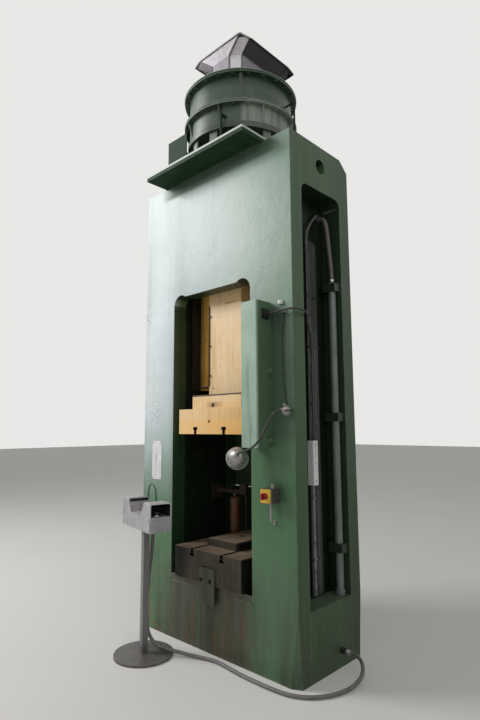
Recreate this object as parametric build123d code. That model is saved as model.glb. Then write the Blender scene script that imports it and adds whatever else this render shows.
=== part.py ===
from build123d import *
import math
import os

# A screw press: a closed welded frame, a guided slide driven by a four-start screw, and a flywheel
# drum on the head. Millimetres. X is to the right, Y to the back, Z up. The origin is the middle of
# the frame's underside.

# Running and fitting clearances
fit = 0.3
bore_play = 0.8

# Press frame
frame_width = 1638
frame_depth = 731
frame_height = 3690
plate_thick = 125
window_width = 866
window_bottom = 425
window_drop = 1014
ear_radius = 85
ear_drop = 66
web_thick = 40
recess_depth = 159
recess_bottom = 430
recess_corner = 60
head_depth = 355
table_top = 475
table_bottom = 200
base_floor = 35
access_width = 300
lifting_bore = 110
lifting_drop = 158
lifting_depth = 120
top_chamfer_depth = 100
top_chamfer_drop = 80
foot_bevel_height = 430
foot_bevel_x = 67
foot_bevel_y = 33
bush_bore = 110

# Deck on the head, with its upright shield and strut
deck_half_width = 560
deck_half_depth = 577
deck_floor = 10
deck_lip = 45
lip_wall = 12
shield_left = 542
shield_gap = 10
shield_leg = 300
shield_height = 430
shield_wall = 8
strut_x = 207
strut_y = 440
strut_radius = 10
strut_height = 350
strut_foot = 24
strut_arm = 20

# Drum on the head
pedestal_height = 250
pedestal_radius = 250
pedestal_wall = 60
pedestal_flange = 300
pedestal_flange_thick = 25
drum_radius = 440
drum_wall = 8
drum_floor = 20
drum_band = 15
drum_band_height = 45
lower_shell_height = 195
upper_shell_height = 240
rim_width = 42
rim_thick = 10
cover_rim = 45
cover_thick = 12
cover_bore = 66
seam_angle = -46
seam_gap = 4
seam_plate = 8
seam_width = 30
drum_pipe_off = 75
drum_pipe_y = 96
drum_pipe_rise = 110
drum_pipe_bend = 26
drum_pipe_radius = 8
drum_bolt_radius = 8
drum_bolt_count = 24
bolt_head = 9

# Hood on the drum
hood_half_width = 178
hood_front = 243
hood_back = 340
hood_corner = 74
hood_neck = 300
hood_flare = 100
hood_spread_left = 142
hood_spread_right = 100
hood_spread_front = 32
hood_spread_back = 90
hood_rim_left = (92, 27)
hood_rim_right = (20, 100)
hood_sheet = 4

# Screw, flywheel and brake
screw_crest = 90
screw_root = 76
screw_starts = 4
screw_lead = 200
thread_length = 1000
thread_runout = 50
collar_radius = 150
collar_height = 100
bearing_height = 35
bush_length = 100
flywheel_radius = 405
flywheel_rim = 90
flywheel_rim_height = 110
flywheel_hub = 150
flywheel_web = 40
rotor_radius = 345
rotor_wall = 45
rotor_height = 200
rotor_gap = 7
floor_gap = 30
rotor_lift = 40
top_journal = 60
brake_radius = 140
brake_thick = 12
brake_gap = 50
brake_above = 18
caliper_clear = 40
caliper_reach = 28
caliper_half = 38
caliper_jaw = 16

# Slide with its nut and guides
slide_rest = 1553
slide_travel = 400
slide_plate_half = 353
slide_plate_height = 194
slide_foot_half = 237
slide_foot_front = 325
slide_foot_height = 110
slide_body_half = 183
slide_body_front = 196
slide_head_room = 385
wing_start = 1915
wing_reach = 5
wing_half_depth = 100
wing_slot_height = 2600
wing_slot = 12
screw_room = 104
screw_room_bottom = 60
nut_radius = 140
nut_length = 350
nut_flange = 172
nut_flange_thick = 25
rail_width = 38
rail_depth = 90
rail_below = 65
rail_drop = 50
marker_hole = 16
marker_depth = 30
oil_pipe = 5
oil_inset = 4
oil_drop = 350
oil_bottom = 1930
oil_run = 117
oil_bend = 25
oil_clip_in = 90
oil_clip_wall = 2

# T-slots of the slide plate and the bolster
t_slot_x = 158
t_slot_neck = 28
t_slot_neck_height = 32
t_slot_head = 48
t_slot_head_height = 22

# Bolster, die seat and ejector
bolster_half_width = 353
bolster_proud = 25
bolster_back_gap = 15
bolster_height = 225
bolster_marker = 80
seat_half_width = 168
seat_half_depth = 230
seat_height = 55
seat_chamfer = 12
ejector_radius = 30
ejector_travel = 80
ejector_sunk = 2
piston_radius = 60
piston_height = 30
cylinder_wall = 25
cylinder_bottom = 20
piston_spare = 30
cylinder_flange = 115
cylinder_flange_thick = 20
shield_plate_left = -65
shield_plate_width = 160
shield_plate_bottom = 340
shield_plate_top = 592
shield_plate_thick = 12
shield_plate_hole = 11
shield_hole_left = 20
shield_hole_right = 44
shield_hole_drop = 30
bolt_radius = 12
bolt_head_radius = 18
bolt_head_height = 24
bolster_bolt_x = 300
bolster_bolt_in = 40.5
bolt_grip = 60
slide_bolt_x = 205
slide_bolt_y = 290
bolt_sink = 26
bolt_head_play = 1
bolt_socket = 10

# Cover box on the front plate
cover_in = 351
cover_width = 150
cover_depth = 139
cover_bottom = 1468
cover_top = 2465
cover_round = 12
cover_wall = 3
lug_height = 45
lug_width = 38
lug_reach = 16
lug_low = 25
lug_high = 496
socket_radius = 32
socket_length = 28
socket_plate = 6
socket_plate_half = 36
socket_height = 2374
socket_y = 54
socket_nut = 20
signal_cable_d = 14
lamp_cable_d = 9

# Work lamp
lamp_in = 55
lamp_z = 1712
lamp_base_width = 52
lamp_base_height = 84
lamp_base_depth = 55
lamp_base_round = 24
lamp_groove = 8
lamp_groove_rise = 2
lamp_neck_d = 16
lamp_head_radius = 75
lamp_head_length = 112
lamp_head_wall = 3
lamp_head_band = 22
lamp_waist = 60
lamp_waist_at = 66
lamp_throat = 34
lamp_throat_back = 16
lamp_collar = 20
lamp_back_wall = 20
lamp_socket_share = 0.8
lamp_lead_in = 60
lamp_neck_socket = 20
bulb_radius = 28
bulb_drop = 44
bulb_cap = 14
lamp_head_centre = (425, -497, 1395)
lamp_head_tilt = 76
lamp_head_turn = -45

# Main switch
switch_in = 185
switch_z = 1158
switch_width = 110
switch_height = 96
switch_depth = 85
switch_round = 8
switch_plate_size = 88
switch_plate_thick = 3
switch_plate_round = 6
switch_knob_radius = 21
switch_knob_depth = 24
switch_grip = 8
switch_grip_depth = 18
conduit_d = 14
conduit_x = 8
conduit_drop = 126
conduit_bend = 34
gland_x = 26
gland_radius = 13
gland_length = 26

# Name plate
name_in = 119
name_width = 124
name_bottom = 1180
name_height = 315
name_thick = 3

# Side recess: pipe, clamps, hose, cables
riser_out = 97
riser_wall_gap = 36.5
riser_d = 55
riser_drop = 1000
riser_nut = 34
riser_nut_height = 40
clamp_heights = (750, 1675, 2650)
clamp_out = 30
clamp_width = 115
clamp_height = 60
clamp_front = 38
hose_d = 36
bundle_count = 5
bundle_d = 22
bundle_pitch = 26
bundle_first = 0
bundle_bottom = 445
bundle_drop = 730
bundle_tie = 14
bundle_tie_thick = 3
bundle_ties = (680, 1100, 1765, 2180, 2560)
duct_bottom = 1195
duct_top = 1507
duct_wall = 2
duct_reach = 48
bracket_width = 46
bracket_height = 34
bracket_thick = 6
bracket_reach = 28
bracket_in = 77
bracket_z = 2366

# Rear window: guard, flap, bracket and cylinder
guard_bottom = 1090
guard_drop = 36
guard_lap = 40
guard_thick = 4
flap_thick = 8
flap_gap = 6
flap_bottom = 470
arm_y = 135
arm_depth = 34
arm_bottom = 1055
arm_height = 28
arm_end = -78
arm_pad = 60
arm_pad_thick = 14
block_width = 68
block_height = 50
rear_rod_radius = 6
rear_rod_drop = 295
cylinder_x = -217
rear_cylinder_radius = 43.5
rear_cylinder_bottom = 746
rear_cylinder_top = 1022
rear_neck_radius = 14
rear_cylinder_chamfer = 8

# Control stand
stand_x = -315
stand_y = -702
stand_turn = -13
foot_radius = 210
foot_thick = 18
post_size = 45
post_wall = 4
console_bottom = 880
console_body_height = 105
console_hood_height = 200
console_length = 510
console_depth = 165
console_wall = 5
console_hood_length = 165
console_hood_slope = 55
console_hood_back = 40
console_hood_wall = 8
console_palm_radius = 26
console_palm_height = 24
console_palm_stem = 12
palm_travel = 6
palm_play = 1
palm_round = 9
palm_inset = 72
start_radius = 11
start_proud = 7
start_travel = 3
console_round = 14
console_hose_d = 25
console_exit_d = 34
console_exit_length = 24
console_exit_in = 26
press_gland_y = 100
press_gland_z = 110
press_gland_length = 40
press_gland_d = 40
loop_d = 10

# Worked out from the sizes above
half_width = frame_width / 2
half_depth = frame_depth / 2
cavity_top = frame_height - head_depth
window_top = frame_height - window_drop
lifting_height = frame_height - lifting_drop
front = -half_depth
window_half = window_width / 2
inner_depth = half_depth - plate_thick
recess_floor = half_width - recess_depth
column_outer = recess_floor - web_thick
pedestal_top = frame_height + pedestal_height
shell_joint = pedestal_top + lower_shell_height
shell_top = shell_joint + 2 * rim_thick + upper_shell_height - rim_thick
rim_radius = drum_radius + rim_width
cover_radius = drum_radius + cover_rim
cover_top_z = shell_top + rim_thick + cover_thick
drum_inner = drum_radius - drum_wall
bolster_front = front - bolster_proud
bolster_back = half_depth - bolster_back_gap
bolster_top = table_top + bolster_height
seat_top = bolster_top + seat_height
plate_top = slide_rest + slide_plate_height
foot_top = plate_top + slide_foot_height
slide_top = cavity_top - slide_head_room
nut_bottom = slide_top - nut_length
oil_top = slide_top - oil_drop
rail_bottom = wing_start - slide_travel - rail_below
rail_top = slide_top - rail_drop
piston_room = ejector_travel + piston_height + piston_spare
cylinder_base = table_bottom - cylinder_bottom - piston_room
bolster_bolt_y = inner_depth - bolster_bolt_in
cover_left = half_width - cover_in
cover_right = cover_left + cover_width
lamp_x = half_width - lamp_in
switch_x = half_width - switch_in
name_left = name_in - half_width
bracket_x = half_width - bracket_in
riser_x = recess_floor + riser_out
riser_y = inner_depth - riser_wall_gap
riser_top = frame_height - riser_drop
clamp_left = recess_floor + clamp_out
bundle_top = frame_height - bundle_drop
guard_top = window_top - guard_drop
cover_face = front - cover_depth
arm_top = arm_bottom + arm_height
shaft_radius = screw_crest
collar_top = cavity_top - bearing_height
collar_bottom = collar_top - collar_height
thread_top = collar_bottom - thread_runout
screw_bottom = thread_top - thread_length
flywheel_low = pedestal_top + drum_floor + floor_gap
flywheel_high = flywheel_low + flywheel_rim_height
rotor_low = flywheel_high + rotor_lift
rotor_high = rotor_low + rotor_height
brake_low = cover_top_z + brake_gap
cable_floor = recess_floor + bundle_d / 2 + fit
bundle_y = [bundle_first + i * bundle_pitch for i in range(bundle_count)]


def block(x0, x1, y0, y1, z0, z1):
    """A box between two corners."""
    middle = ((x0 + x1) / 2, (y0 + y1) / 2, (z0 + z1) / 2)
    return Pos(*middle) * Box(abs(x1 - x0), abs(y1 - y0), abs(z1 - z0))


def upright(x, y, z0, z1, radius):
    """A cylinder along Z."""
    return Pos(x, y, (z0 + z1) / 2) * Cylinder(radius, abs(z1 - z0))


def crosswise(x0, x1, y, z, radius):
    """A cylinder along X."""
    return Pos((x0 + x1) / 2, y, z) * Rot(0, 90, 0) * Cylinder(radius, abs(x1 - x0))


def lengthwise(x, y0, y1, z, radius):
    """A cylinder along Y."""
    return Pos(x, (y0 + y1) / 2, z) * Rot(90, 0, 0) * Cylinder(radius, abs(y1 - y0))


def ring(outer, inner, z0, z1):
    """A ring on the drum axis."""
    return upright(0, 0, z0, z1, outer) - upright(0, 0, z0 - 1, z1 + 1, inner)


def polygon_prism(points, z0, z1):
    """An upright prism on a plan outline."""
    outline = Face(Wire.make_polygon([(x, y, z0) for x, y in points], close=True))
    return extrude(outline, z1 - z0, dir=(0, 0, 1))


def cord_radii(points):
    """The largest tangent arc that each corner of a cord's route has room for."""
    places = [Vector(*point) for point in points]
    radii = []
    for before, corner, after in zip(places, places[1:], places[2:]):
        run_in = corner - before
        run_out = after - corner
        turn = math.radians(run_in.get_angle(run_out))
        shorter = min(run_in.length, run_out.length)
        radii.append(0.45 * shorter / math.tan(turn / 2))
    return radii


def cord(name, points, diameter):
    """A round cord along its route: straight runs joined by tangent arcs."""
    radii = cord_radii(points)
    path = FilletPolyline(*points, radius=radii)
    start = Plane(origin=points[0], z_dir=Vector(*points[1]) - Vector(*points[0]))
    tube = sweep(start * Circle(diameter / 2), path=path)
    share = tube.volume / (path.length * math.pi * diameter ** 2 / 4)
    print(name, "radii", [round(radius) for radius in radii], "length", round(path.length),
          "volume share", round(share, 4))
    return tube


def frame_plate(y0, y1):
    """One thick plate with its window, whose round top corners rise into ears, and the bevelled feet."""
    plate = block(-half_width, half_width, y0, y1, 0, frame_height)
    window = block(-window_half, window_half, y0 - 1, y1 + 1, window_bottom, window_top)
    plate -= fillet(window.edges().filter_by(Axis.Y).group_by(Axis.Z)[-1], ear_radius)
    for side in (-1, 1):
        ear_x = side * (window_half - ear_radius)
        plate -= lengthwise(ear_x, y0 - 1, y1 + 1, window_top - ear_drop, ear_radius)
    for bevel in foot_bevels():
        plate -= bevel
    return plate


def frame_front():
    """The front plate, with the welded angle that carries the cables."""
    left = bracket_x - bracket_width / 2
    right = bracket_x + bracket_width / 2
    body = frame_plate(front, -inner_depth)
    body += block(left, right, front - bracket_reach, front, bracket_z, bracket_z + bracket_thick)
    return body + block(left, right, front - bracket_thick, front, bracket_z, bracket_z + bracket_height)


def frame_back():
    """The back plate, with the port to the ejector cylinder."""
    body = frame_plate(inner_depth, half_depth) - rear_chamfer()
    return body - block(-access_width / 2, access_width / 2, 0, half_depth + 1, base_floor, table_bottom)


def frame_webs():
    """The four like webs: two beside the window and two that are the floors of the side recesses."""
    solids = []
    for side in (-1, 1):
        for near in (window_half, column_outer):
            web = block(side * near, side * (near + web_thick), -inner_depth, inner_depth, recess_bottom,
                        cavity_top)
            solids.append(web.solid())
    return Compound(solids)


def frame_head():
    """The head between the plates; it rounds the top corners of the side recesses."""
    low = cavity_top - recess_corner
    body = block(-half_width, half_width, -inner_depth, inner_depth, low, frame_height)
    body -= block(-recess_floor, recess_floor, -inner_depth - 1, inner_depth + 1, low - 1, cavity_top)
    for side in (-1, 1):
        body -= side_recess(side)
        body -= crosswise(side * (half_width - lifting_depth), side * (half_width + 1), 0,
                          lifting_height, lifting_bore / 2)
    return body - upright(0, 0, cavity_top - 1, frame_height + 1, bush_bore)


def frame_base():
    """The base between the plates: floor, feet under the columns, and the table over the ejector."""
    body = block(-half_width, half_width, -inner_depth, inner_depth, 0, recess_bottom)
    body += block(-window_half, window_half, -inner_depth, inner_depth, recess_bottom, table_top)
    body -= block(-window_half, window_half, -inner_depth - 1, inner_depth + 1, base_floor, table_bottom)
    body -= upright(0, 0, table_bottom - 1, table_top + 1, ejector_radius + bore_play)
    for x, y in corner_places(bolster_bolt_x, bolster_bolt_y):
        body -= upright(x, y, table_top - bolt_grip, table_top + 1, bolt_radius)
    return body


def side_recess(side):
    """The upper end of the open recess in one column's side, with two rounded top corners."""
    pocket = block(side * recess_floor, side * (half_width + 1), -inner_depth, inner_depth,
                   cavity_top - 2 * recess_corner, cavity_top)
    return fillet(pocket.edges().filter_by(Axis.X).group_by(Axis.Z)[-1], recess_corner)


def rear_chamfer():
    """The sloped cut along the head's upper rear edge."""
    points = [(half_depth - top_chamfer_depth, frame_height), (half_depth, frame_height - top_chamfer_drop),
              (half_depth + 1, frame_height + 1)]
    outline = Face(Wire.make_polygon([(-half_width - 1, y, z) for y, z in points], close=True))
    return extrude(outline, frame_width + 2, dir=(1, 0, 0))


def foot_bevels():
    """The sloped corner cuts at the bottom of the four outer edges."""
    cuts = []
    for side_x in (-1, 1):
        for side_y in (-1, 1):
            apex = Vector(side_x * half_width, side_y * half_depth, foot_bevel_height)
            along_x = Vector(side_x * (half_width - foot_bevel_x), side_y * half_depth, 0)
            along_y = Vector(side_x * half_width, side_y * (half_depth - foot_bevel_y), 0)
            corner = Vector(side_x * half_width, side_y * half_depth, 0)
            faces = [(apex, along_x, along_y), (apex, along_x, corner), (apex, along_y, corner),
                     (along_x, along_y, corner)]
            shell = Shell([Face(Wire.make_polygon(list(face), close=True)) for face in faces])
            cuts.append(Solid(shell))
    return cuts


def top_deck():
    body = block(-deck_half_width, deck_half_width, -deck_half_depth, deck_half_depth,
                 frame_height, frame_height + deck_lip)
    body -= block(lip_wall - deck_half_width, deck_half_width - lip_wall, lip_wall - deck_half_depth,
                  deck_half_depth - lip_wall, frame_height + deck_floor, frame_height + deck_lip + 1)
    body -= upright(0, 0, frame_height - 1, frame_height + deck_lip, pedestal_flange + fit)
    floor = frame_height + deck_floor
    top = floor + shield_height - deck_floor
    shield_right = math.sqrt((drum_radius + drum_band + shield_gap) ** 2 - (half_depth - shield_wall) ** 2)
    body += block(-shield_left, -shield_right, front, front + shield_wall, floor, top)
    body += block(-shield_left, shield_wall - shield_left, front, front + shield_leg, floor, top)
    body += upright(strut_x, -strut_y, floor, frame_height + strut_height, strut_radius)
    body += upright(strut_x, -strut_y, floor, floor + strut_foot, strut_foot)
    arm_top_z = frame_height + strut_height
    arm = block(strut_x - strut_radius, strut_x + strut_radius, -strut_y, 0, arm_top_z - strut_arm, arm_top_z)
    return body + (arm - upright(0, 0, frame_height, arm_top_z + 1, drum_radius + fit))


def drum_lower_shell():
    """The lower shell, welded to the pedestal that it stands on."""
    inner = pedestal_radius - pedestal_wall
    body = ring(pedestal_radius, inner, frame_height, pedestal_top)
    body += ring(pedestal_flange, inner, frame_height, frame_height + pedestal_flange_thick)
    body += ring(drum_radius, drum_inner, pedestal_top, shell_joint)
    body += ring(drum_radius, inner, pedestal_top, pedestal_top + drum_floor)
    body += ring(drum_radius + drum_band, drum_inner, pedestal_top, pedestal_top + drum_band_height)
    body += ring(rim_radius, drum_inner, shell_joint, shell_joint + rim_thick)
    return body - bolt_holes(shell_joint, shell_joint + rim_thick)


def drum_upper_shell():
    low = shell_joint + rim_thick
    high = shell_top + rim_thick
    body = ring(drum_radius, drum_inner, low, high)
    body += ring(rim_radius, drum_inner, low, low + rim_thick)
    body += ring(cover_radius, drum_inner, shell_top, high)
    for side in (-1, 1):
        offset = side * (seam_gap + seam_plate) / 2
        plate = block(drum_radius - drum_wall / 2, drum_radius + seam_width, offset - seam_plate / 2,
                      offset + seam_plate / 2, low + rim_thick, shell_top)
        body += Rot(0, 0, seam_angle) * plate
    return body - bolt_holes(low, low + rim_thick) - bolt_holes(shell_top, high)


def drum_cover():
    body = ring(cover_radius, cover_bore, shell_top + rim_thick, cover_top_z)
    return body - bolt_holes(shell_top + rim_thick, cover_top_z)


def bolt_places():
    """The drum's bolt circle, turned so that no bolt meets the seam."""
    pitch = 360 / drum_bolt_count
    radius = drum_radius + rim_width / 2
    for index in range(drum_bolt_count):
        angle = math.radians(seam_angle + (index + 0.5) * pitch)
        yield radius * math.cos(angle), radius * math.sin(angle)


def bolt_holes(z0, z1):
    return Compound([upright(x, y, z0 - 1, z1 + 1, drum_bolt_radius + fit) for x, y in bolt_places()])


def hexagon(x, y, z0, z1, across):
    """A six-sided bolt head or nut."""
    outline = RegularPolygon(across / 2, 6, major_radius=False)
    return Pos(x, y, z0) * extrude(outline, z1 - z0)


def drum_bolts():
    """The like bolts, with their nuts, of the drum's two bolted joints."""
    solids = []
    joints = ((shell_joint, shell_joint + 2 * rim_thick), (shell_top, cover_top_z))
    for low, high in joints:
        for x, y in bolt_places():
            bolt = upright(x, y, low - bolt_head, high, drum_bolt_radius)
            bolt += hexagon(x, y, high, high + bolt_head, 3 * drum_bolt_radius)
            bolt += hexagon(x, y, low - bolt_head, low, 3 * drum_bolt_radius)
            solids.append(bolt.solid())
    return Compound(solids)


def hood_plan(left, right, near, far, left_cut, right_cut):
    """The hood's plan outline: a rectangle with its corners cut by the given lengths along X and Y."""
    return [(left + left_cut[0], near), (right - right_cut[0], near), (right, near + right_cut[1]),
            (right, far - right_cut[1]), (right - right_cut[0], far), (left + left_cut[0], far),
            (left, far - left_cut[1]), (left, near + left_cut[1])]


def hood_block(inset, low, kink, high):
    """The solid outline of the hood, drawn in by the given wall."""
    side = hood_half_width - inset
    near = inset - hood_front
    far = hood_back - inset
    neck_cut = (hood_corner, hood_corner)
    narrow = hood_plan(-side, side, near, far, neck_cut, neck_cut)
    wide = hood_plan(-side - hood_spread_left, side + hood_spread_right, near - hood_spread_front,
                     far + hood_spread_back, hood_rim_left, hood_rim_right)
    neck = polygon_prism(narrow, low, kink)
    outlines = []
    for points, z in ((narrow, kink), (wide, high)):
        outlines.append(Wire.make_polygon([(x, y, z) for x, y in points], close=True))
    return neck + Solid.make_loft(outlines, ruled=True)


def motor_hood():
    kink = cover_top_z + hood_neck
    top = kink + hood_flare
    outer = hood_block(0, cover_top_z, kink, top)
    inner = hood_block(hood_sheet, cover_top_z - 1, kink, top - hood_sheet)
    return outer - inner


def stator_ring():
    return ring(drum_inner - fit, rotor_radius + rotor_gap, rotor_low, rotor_high)


def flywheel():
    web_mid = (flywheel_low + flywheel_high) / 2
    body = ring(flywheel_radius, flywheel_radius - flywheel_rim, flywheel_low, flywheel_high)
    body += ring(flywheel_radius - flywheel_rim / 2, shaft_radius, web_mid - flywheel_web / 2,
                 web_mid + flywheel_web / 2)
    body += ring(flywheel_hub, shaft_radius, flywheel_low, rotor_high)
    rotor_inner = rotor_radius - rotor_wall
    body += ring(rotor_radius, rotor_inner, web_mid, rotor_high)
    return body


def arc_point(radius, angle):
    return (radius * math.cos(math.radians(angle)), radius * math.sin(math.radians(angle)))


def thread_section():
    """The screw's plan section: one broad crest and one root arc for each start."""
    edges = []
    pitch = 360 / screw_starts
    crest = pitch * 0.46
    flank = pitch * 0.06
    for start in range(screw_starts):
        a0 = start * pitch
        a1 = a0 + crest
        a2 = a1 + flank
        a3 = a0 + pitch - flank
        edges.append(ThreePointArc(arc_point(screw_crest, a0), arc_point(screw_crest, (a0 + a1) / 2),
                                   arc_point(screw_crest, a1)))
        edges.append(Line(arc_point(screw_crest, a1), arc_point(screw_root, a2)))
        edges.append(ThreePointArc(arc_point(screw_root, a2), arc_point(screw_root, (a2 + a3) / 2),
                                   arc_point(screw_root, a3)))
        edges.append(Line(arc_point(screw_root, a3), arc_point(screw_crest, a0 + pitch)))
    return Face(Wire(edges))


def screw_spindle():
    length = thread_top - screw_bottom
    thread = Solid.extrude_linear_with_rotation(thread_section(), (0, 0, 0), (0, 0, length),
                                                360 * length / screw_lead)
    body = Pos(0, 0, screw_bottom) * thread
    body += upright(0, 0, thread_top, collar_bottom, shaft_radius)
    body += upright(0, 0, collar_bottom, collar_top, collar_radius)
    body += upright(0, 0, collar_top, rotor_high, shaft_radius)
    body += upright(0, 0, rotor_high, brake_low + brake_thick + brake_above, top_journal)
    return body


def screw_nut():
    bore = screw_crest + bore_play
    body = ring(nut_radius, bore, nut_bottom, slide_top)
    return body + ring(nut_flange, bore, slide_top, slide_top + nut_flange_thick)


def screw_bearings():
    """The ring that takes the screw's thrust, and the two bushes of its journal."""
    rings = [ring(collar_radius, shaft_radius + fit, collar_top, cavity_top),
             ring(bush_bore, shaft_radius + fit, cavity_top, cavity_top + bush_length),
             ring(bush_bore, shaft_radius + fit, frame_height - bush_length, frame_height)]
    return Compound([each.solid() for each in rings])


def brake_disc():
    return ring(brake_radius, top_journal, brake_low, brake_low + brake_thick)


def brake_caliper():
    near = top_journal + caliper_clear
    far = brake_radius + caliper_reach
    high = brake_low + brake_thick + caliper_jaw
    body = block(-caliper_half, caliper_half, near, far, cover_top_z, high)
    slot_low = brake_low - bore_play
    slot_high = brake_low + brake_thick + bore_play
    return body - upright(0, 0, slot_low, slot_high, brake_radius + bore_play)


def t_slots(face_z, side, y0, y1):
    """Two T-slots along Y that open in a level face; side is 1 where they open upwards."""
    cuts = []
    neck = face_z - side * t_slot_neck_height
    head = neck - side * t_slot_head_height
    for x in (-t_slot_x, t_slot_x):
        cuts.append(block(x - t_slot_neck / 2, x + t_slot_neck / 2, y0 - 1, y1 + 1, neck, face_z + side))
        cuts.append(block(x - t_slot_head / 2, x + t_slot_head / 2, y0 - 1, y1 + 1, head, neck))
    return cuts


def slide():
    wing_half = window_half - wing_reach
    body = block(-slide_foot_half, slide_foot_half, -slide_foot_front, slide_foot_front, plate_top, foot_top)
    body += block(-slide_body_half, slide_body_half, -slide_body_front, slide_body_front, foot_top, slide_top)
    body += block(-wing_half, wing_half, fit - wing_half_depth, wing_half_depth - fit, wing_start, slide_top)
    body -= upright(0, 0, screw_bottom - screw_room_bottom, slide_top + 1, screw_room)
    body -= upright(0, 0, nut_bottom, slide_top + 1, nut_radius)
    body -= block(0, slide_body_half + 1, -slide_body_front - 1, wing_slot - slide_body_front,
                  wing_slot_height - wing_slot, wing_slot_height)
    body -= lengthwise(0, -slide_foot_front - 1, marker_depth - slide_foot_front,
                       plate_top + slide_foot_height / 4, marker_hole / 2)
    for x, y in corner_places(slide_bolt_x, slide_bolt_y):
        body -= upright(x, y, plate_top - 1, foot_top + 1, bolt_radius + fit)
        body -= upright(x, y, foot_top - bolt_sink, foot_top + 1, bolt_head_radius + bolt_head_play)
    return body


def slide_plate():
    body = block(-slide_plate_half, slide_plate_half, -half_depth, half_depth, slide_rest, plate_top)
    for cut in t_slots(slide_rest, -1, front, half_depth):
        body -= cut
    body -= lengthwise(0, front - 1, front + marker_depth, (slide_rest + plate_top) / 2, marker_hole / 2)
    for x, y in corner_places(slide_bolt_x, slide_bolt_y):
        body -= upright(x, y, plate_top - slide_foot_height / 2, plate_top + 1, bolt_radius)
    return body


def corner_places(x, y):
    return [(x, y), (-x, y), (-x, -y), (x, -y)]


def cap_screw(x, y, z0, seat):
    """A socket-head screw whose head sits at the given height."""
    body = upright(x, y, z0, seat, bolt_radius)
    body += upright(x, y, seat, seat + bolt_head_height, bolt_head_radius)
    socket = Pos(x, y, seat + bolt_head_height / 2) * extrude(RegularPolygon(bolt_socket, 6), bolt_head_height)
    return (body - socket).solid()


def slide_bolts():
    low = plate_top - slide_foot_height / 2
    seat = foot_top - bolt_sink
    return Compound([cap_screw(x, y, low, seat) for x, y in corner_places(slide_bolt_x, slide_bolt_y)])


def guide_rails():
    solids = []
    for side_x in (-1, 1):
        for side_y in (-1, 1):
            inner = wing_half_depth
            rail = block(side_x * (window_half - rail_width), side_x * window_half, side_y * inner,
                         side_y * (inner + rail_depth), rail_bottom, rail_top)
            solids.append(rail.solid())
    return Compound(solids)


def slide_oil_line():
    """The bent oil pipe on the slide's front edge, with two clips."""
    x = oil_inset - slide_body_half
    y = -slide_body_front - oil_pipe
    points = [(x, y, oil_top), (x, y, oil_bottom), (x - oil_run, y, oil_bottom)]
    path = FilletPolyline(*points, radius=oil_bend)
    start = Plane(origin=points[0], z_dir=(0, 0, -1))
    body = sweep(start * Circle(oil_pipe), path=path)
    for z in (oil_top - oil_clip_in, (oil_top + oil_bottom) / 2, oil_bottom + oil_clip_in):
        body += block(x - oil_pipe - oil_clip_wall, x + 4 * oil_pipe,
                      -slide_body_front - 2 * oil_pipe - oil_clip_wall, -slide_body_front,
                      z - oil_pipe, z + oil_pipe)
    drop = block(x - oil_run, x - oil_run + 2 * oil_pipe, y - oil_pipe, fit - wing_half_depth,
                 oil_bottom - oil_pipe, oil_bottom + oil_pipe)
    return body + drop


def bolster():
    body = block(-bolster_half_width, bolster_half_width, bolster_front, bolster_back, table_top, bolster_top)
    for cut in t_slots(bolster_top, 1, bolster_front, bolster_back):
        body -= cut
    body -= upright(0, 0, table_top - 1, bolster_top + 1, ejector_radius + bore_play)
    body -= lengthwise(0, bolster_front - 1, bolster_front + marker_depth, bolster_top - bolster_marker,
                       marker_hole / 2)
    for x, y in corner_places(bolster_bolt_x, bolster_bolt_y):
        body -= upright(x, y, table_top - 1, bolster_top + 1, bolt_radius + fit)
        body -= upright(x, y, bolster_top - bolt_sink, bolster_top + 1, bolt_head_radius + bolt_head_play)
    return body


def bolster_bolts():
    seat = bolster_top - bolt_sink
    places = corner_places(bolster_bolt_x, bolster_bolt_y)
    return Compound([cap_screw(x, y, table_top - bolt_grip, seat) for x, y in places])


def die_seat():
    body = block(-seat_half_width, seat_half_width, -seat_half_depth, seat_half_depth, bolster_top, seat_top)
    body = chamfer(body.edges().filter_by(Axis.Z), seat_chamfer)
    return body - upright(0, 0, bolster_top - 1, seat_top + 1, ejector_radius + bore_play)


def ejector_rod():
    low = cylinder_base + cylinder_bottom + fit
    body = upright(0, 0, low, seat_top - ejector_sunk, ejector_radius)
    return body + upright(0, 0, low, low + piston_height, piston_radius - fit)


def ejector_cylinder():
    outer = piston_radius + cylinder_wall
    body = upright(0, 0, cylinder_base, table_bottom, outer)
    body += upright(0, 0, table_bottom - cylinder_flange_thick, table_bottom, cylinder_flange)
    return body - upright(0, 0, cylinder_base + cylinder_bottom, table_bottom + 1, piston_radius)


def ejector_cover():
    left = shield_plate_left
    right = left + shield_plate_width
    back = bolster_front
    body = block(left, right, back - shield_plate_thick, back, shield_plate_bottom, shield_plate_top)
    hole_z = (shield_plate_top + table_top) / 2 - shield_hole_drop
    for x in (left + shield_hole_left, right - shield_hole_right):
        body -= lengthwise(x, back - shield_plate_thick - 1, back + 1, hole_z, shield_plate_hole)
    return body


def scale_cover():
    body = block(cover_left, cover_right, cover_face, front, cover_bottom, cover_top)
    body = fillet(body.edges().filter_by(Axis.Z).group_by(Axis.Y)[0], cover_round)
    body -= block(cover_left + cover_wall, cover_right - cover_wall, cover_face + cover_wall, front + 1,
                  cover_bottom + cover_wall, cover_top - cover_wall)
    for offset in (lug_low, lug_high):
        low = cover_bottom + offset
        body += block(cover_right, cover_right + lug_reach, front - lug_width, front, low, low + lug_height)
    return body


def cable_socket():
    """The angled socket on the cover's right side, with its nut."""
    y = front - socket_y
    foot = cover_right + socket_plate
    middle = foot + socket_length / 2
    body = block(cover_right, foot, y - socket_plate_half, y + socket_plate_half,
                 socket_height - socket_plate_half, socket_height + socket_plate_half)
    body += crosswise(foot, middle, y, socket_height, socket_radius)
    return body + crosswise(middle, foot + socket_length, y, socket_height, socket_nut)


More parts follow.
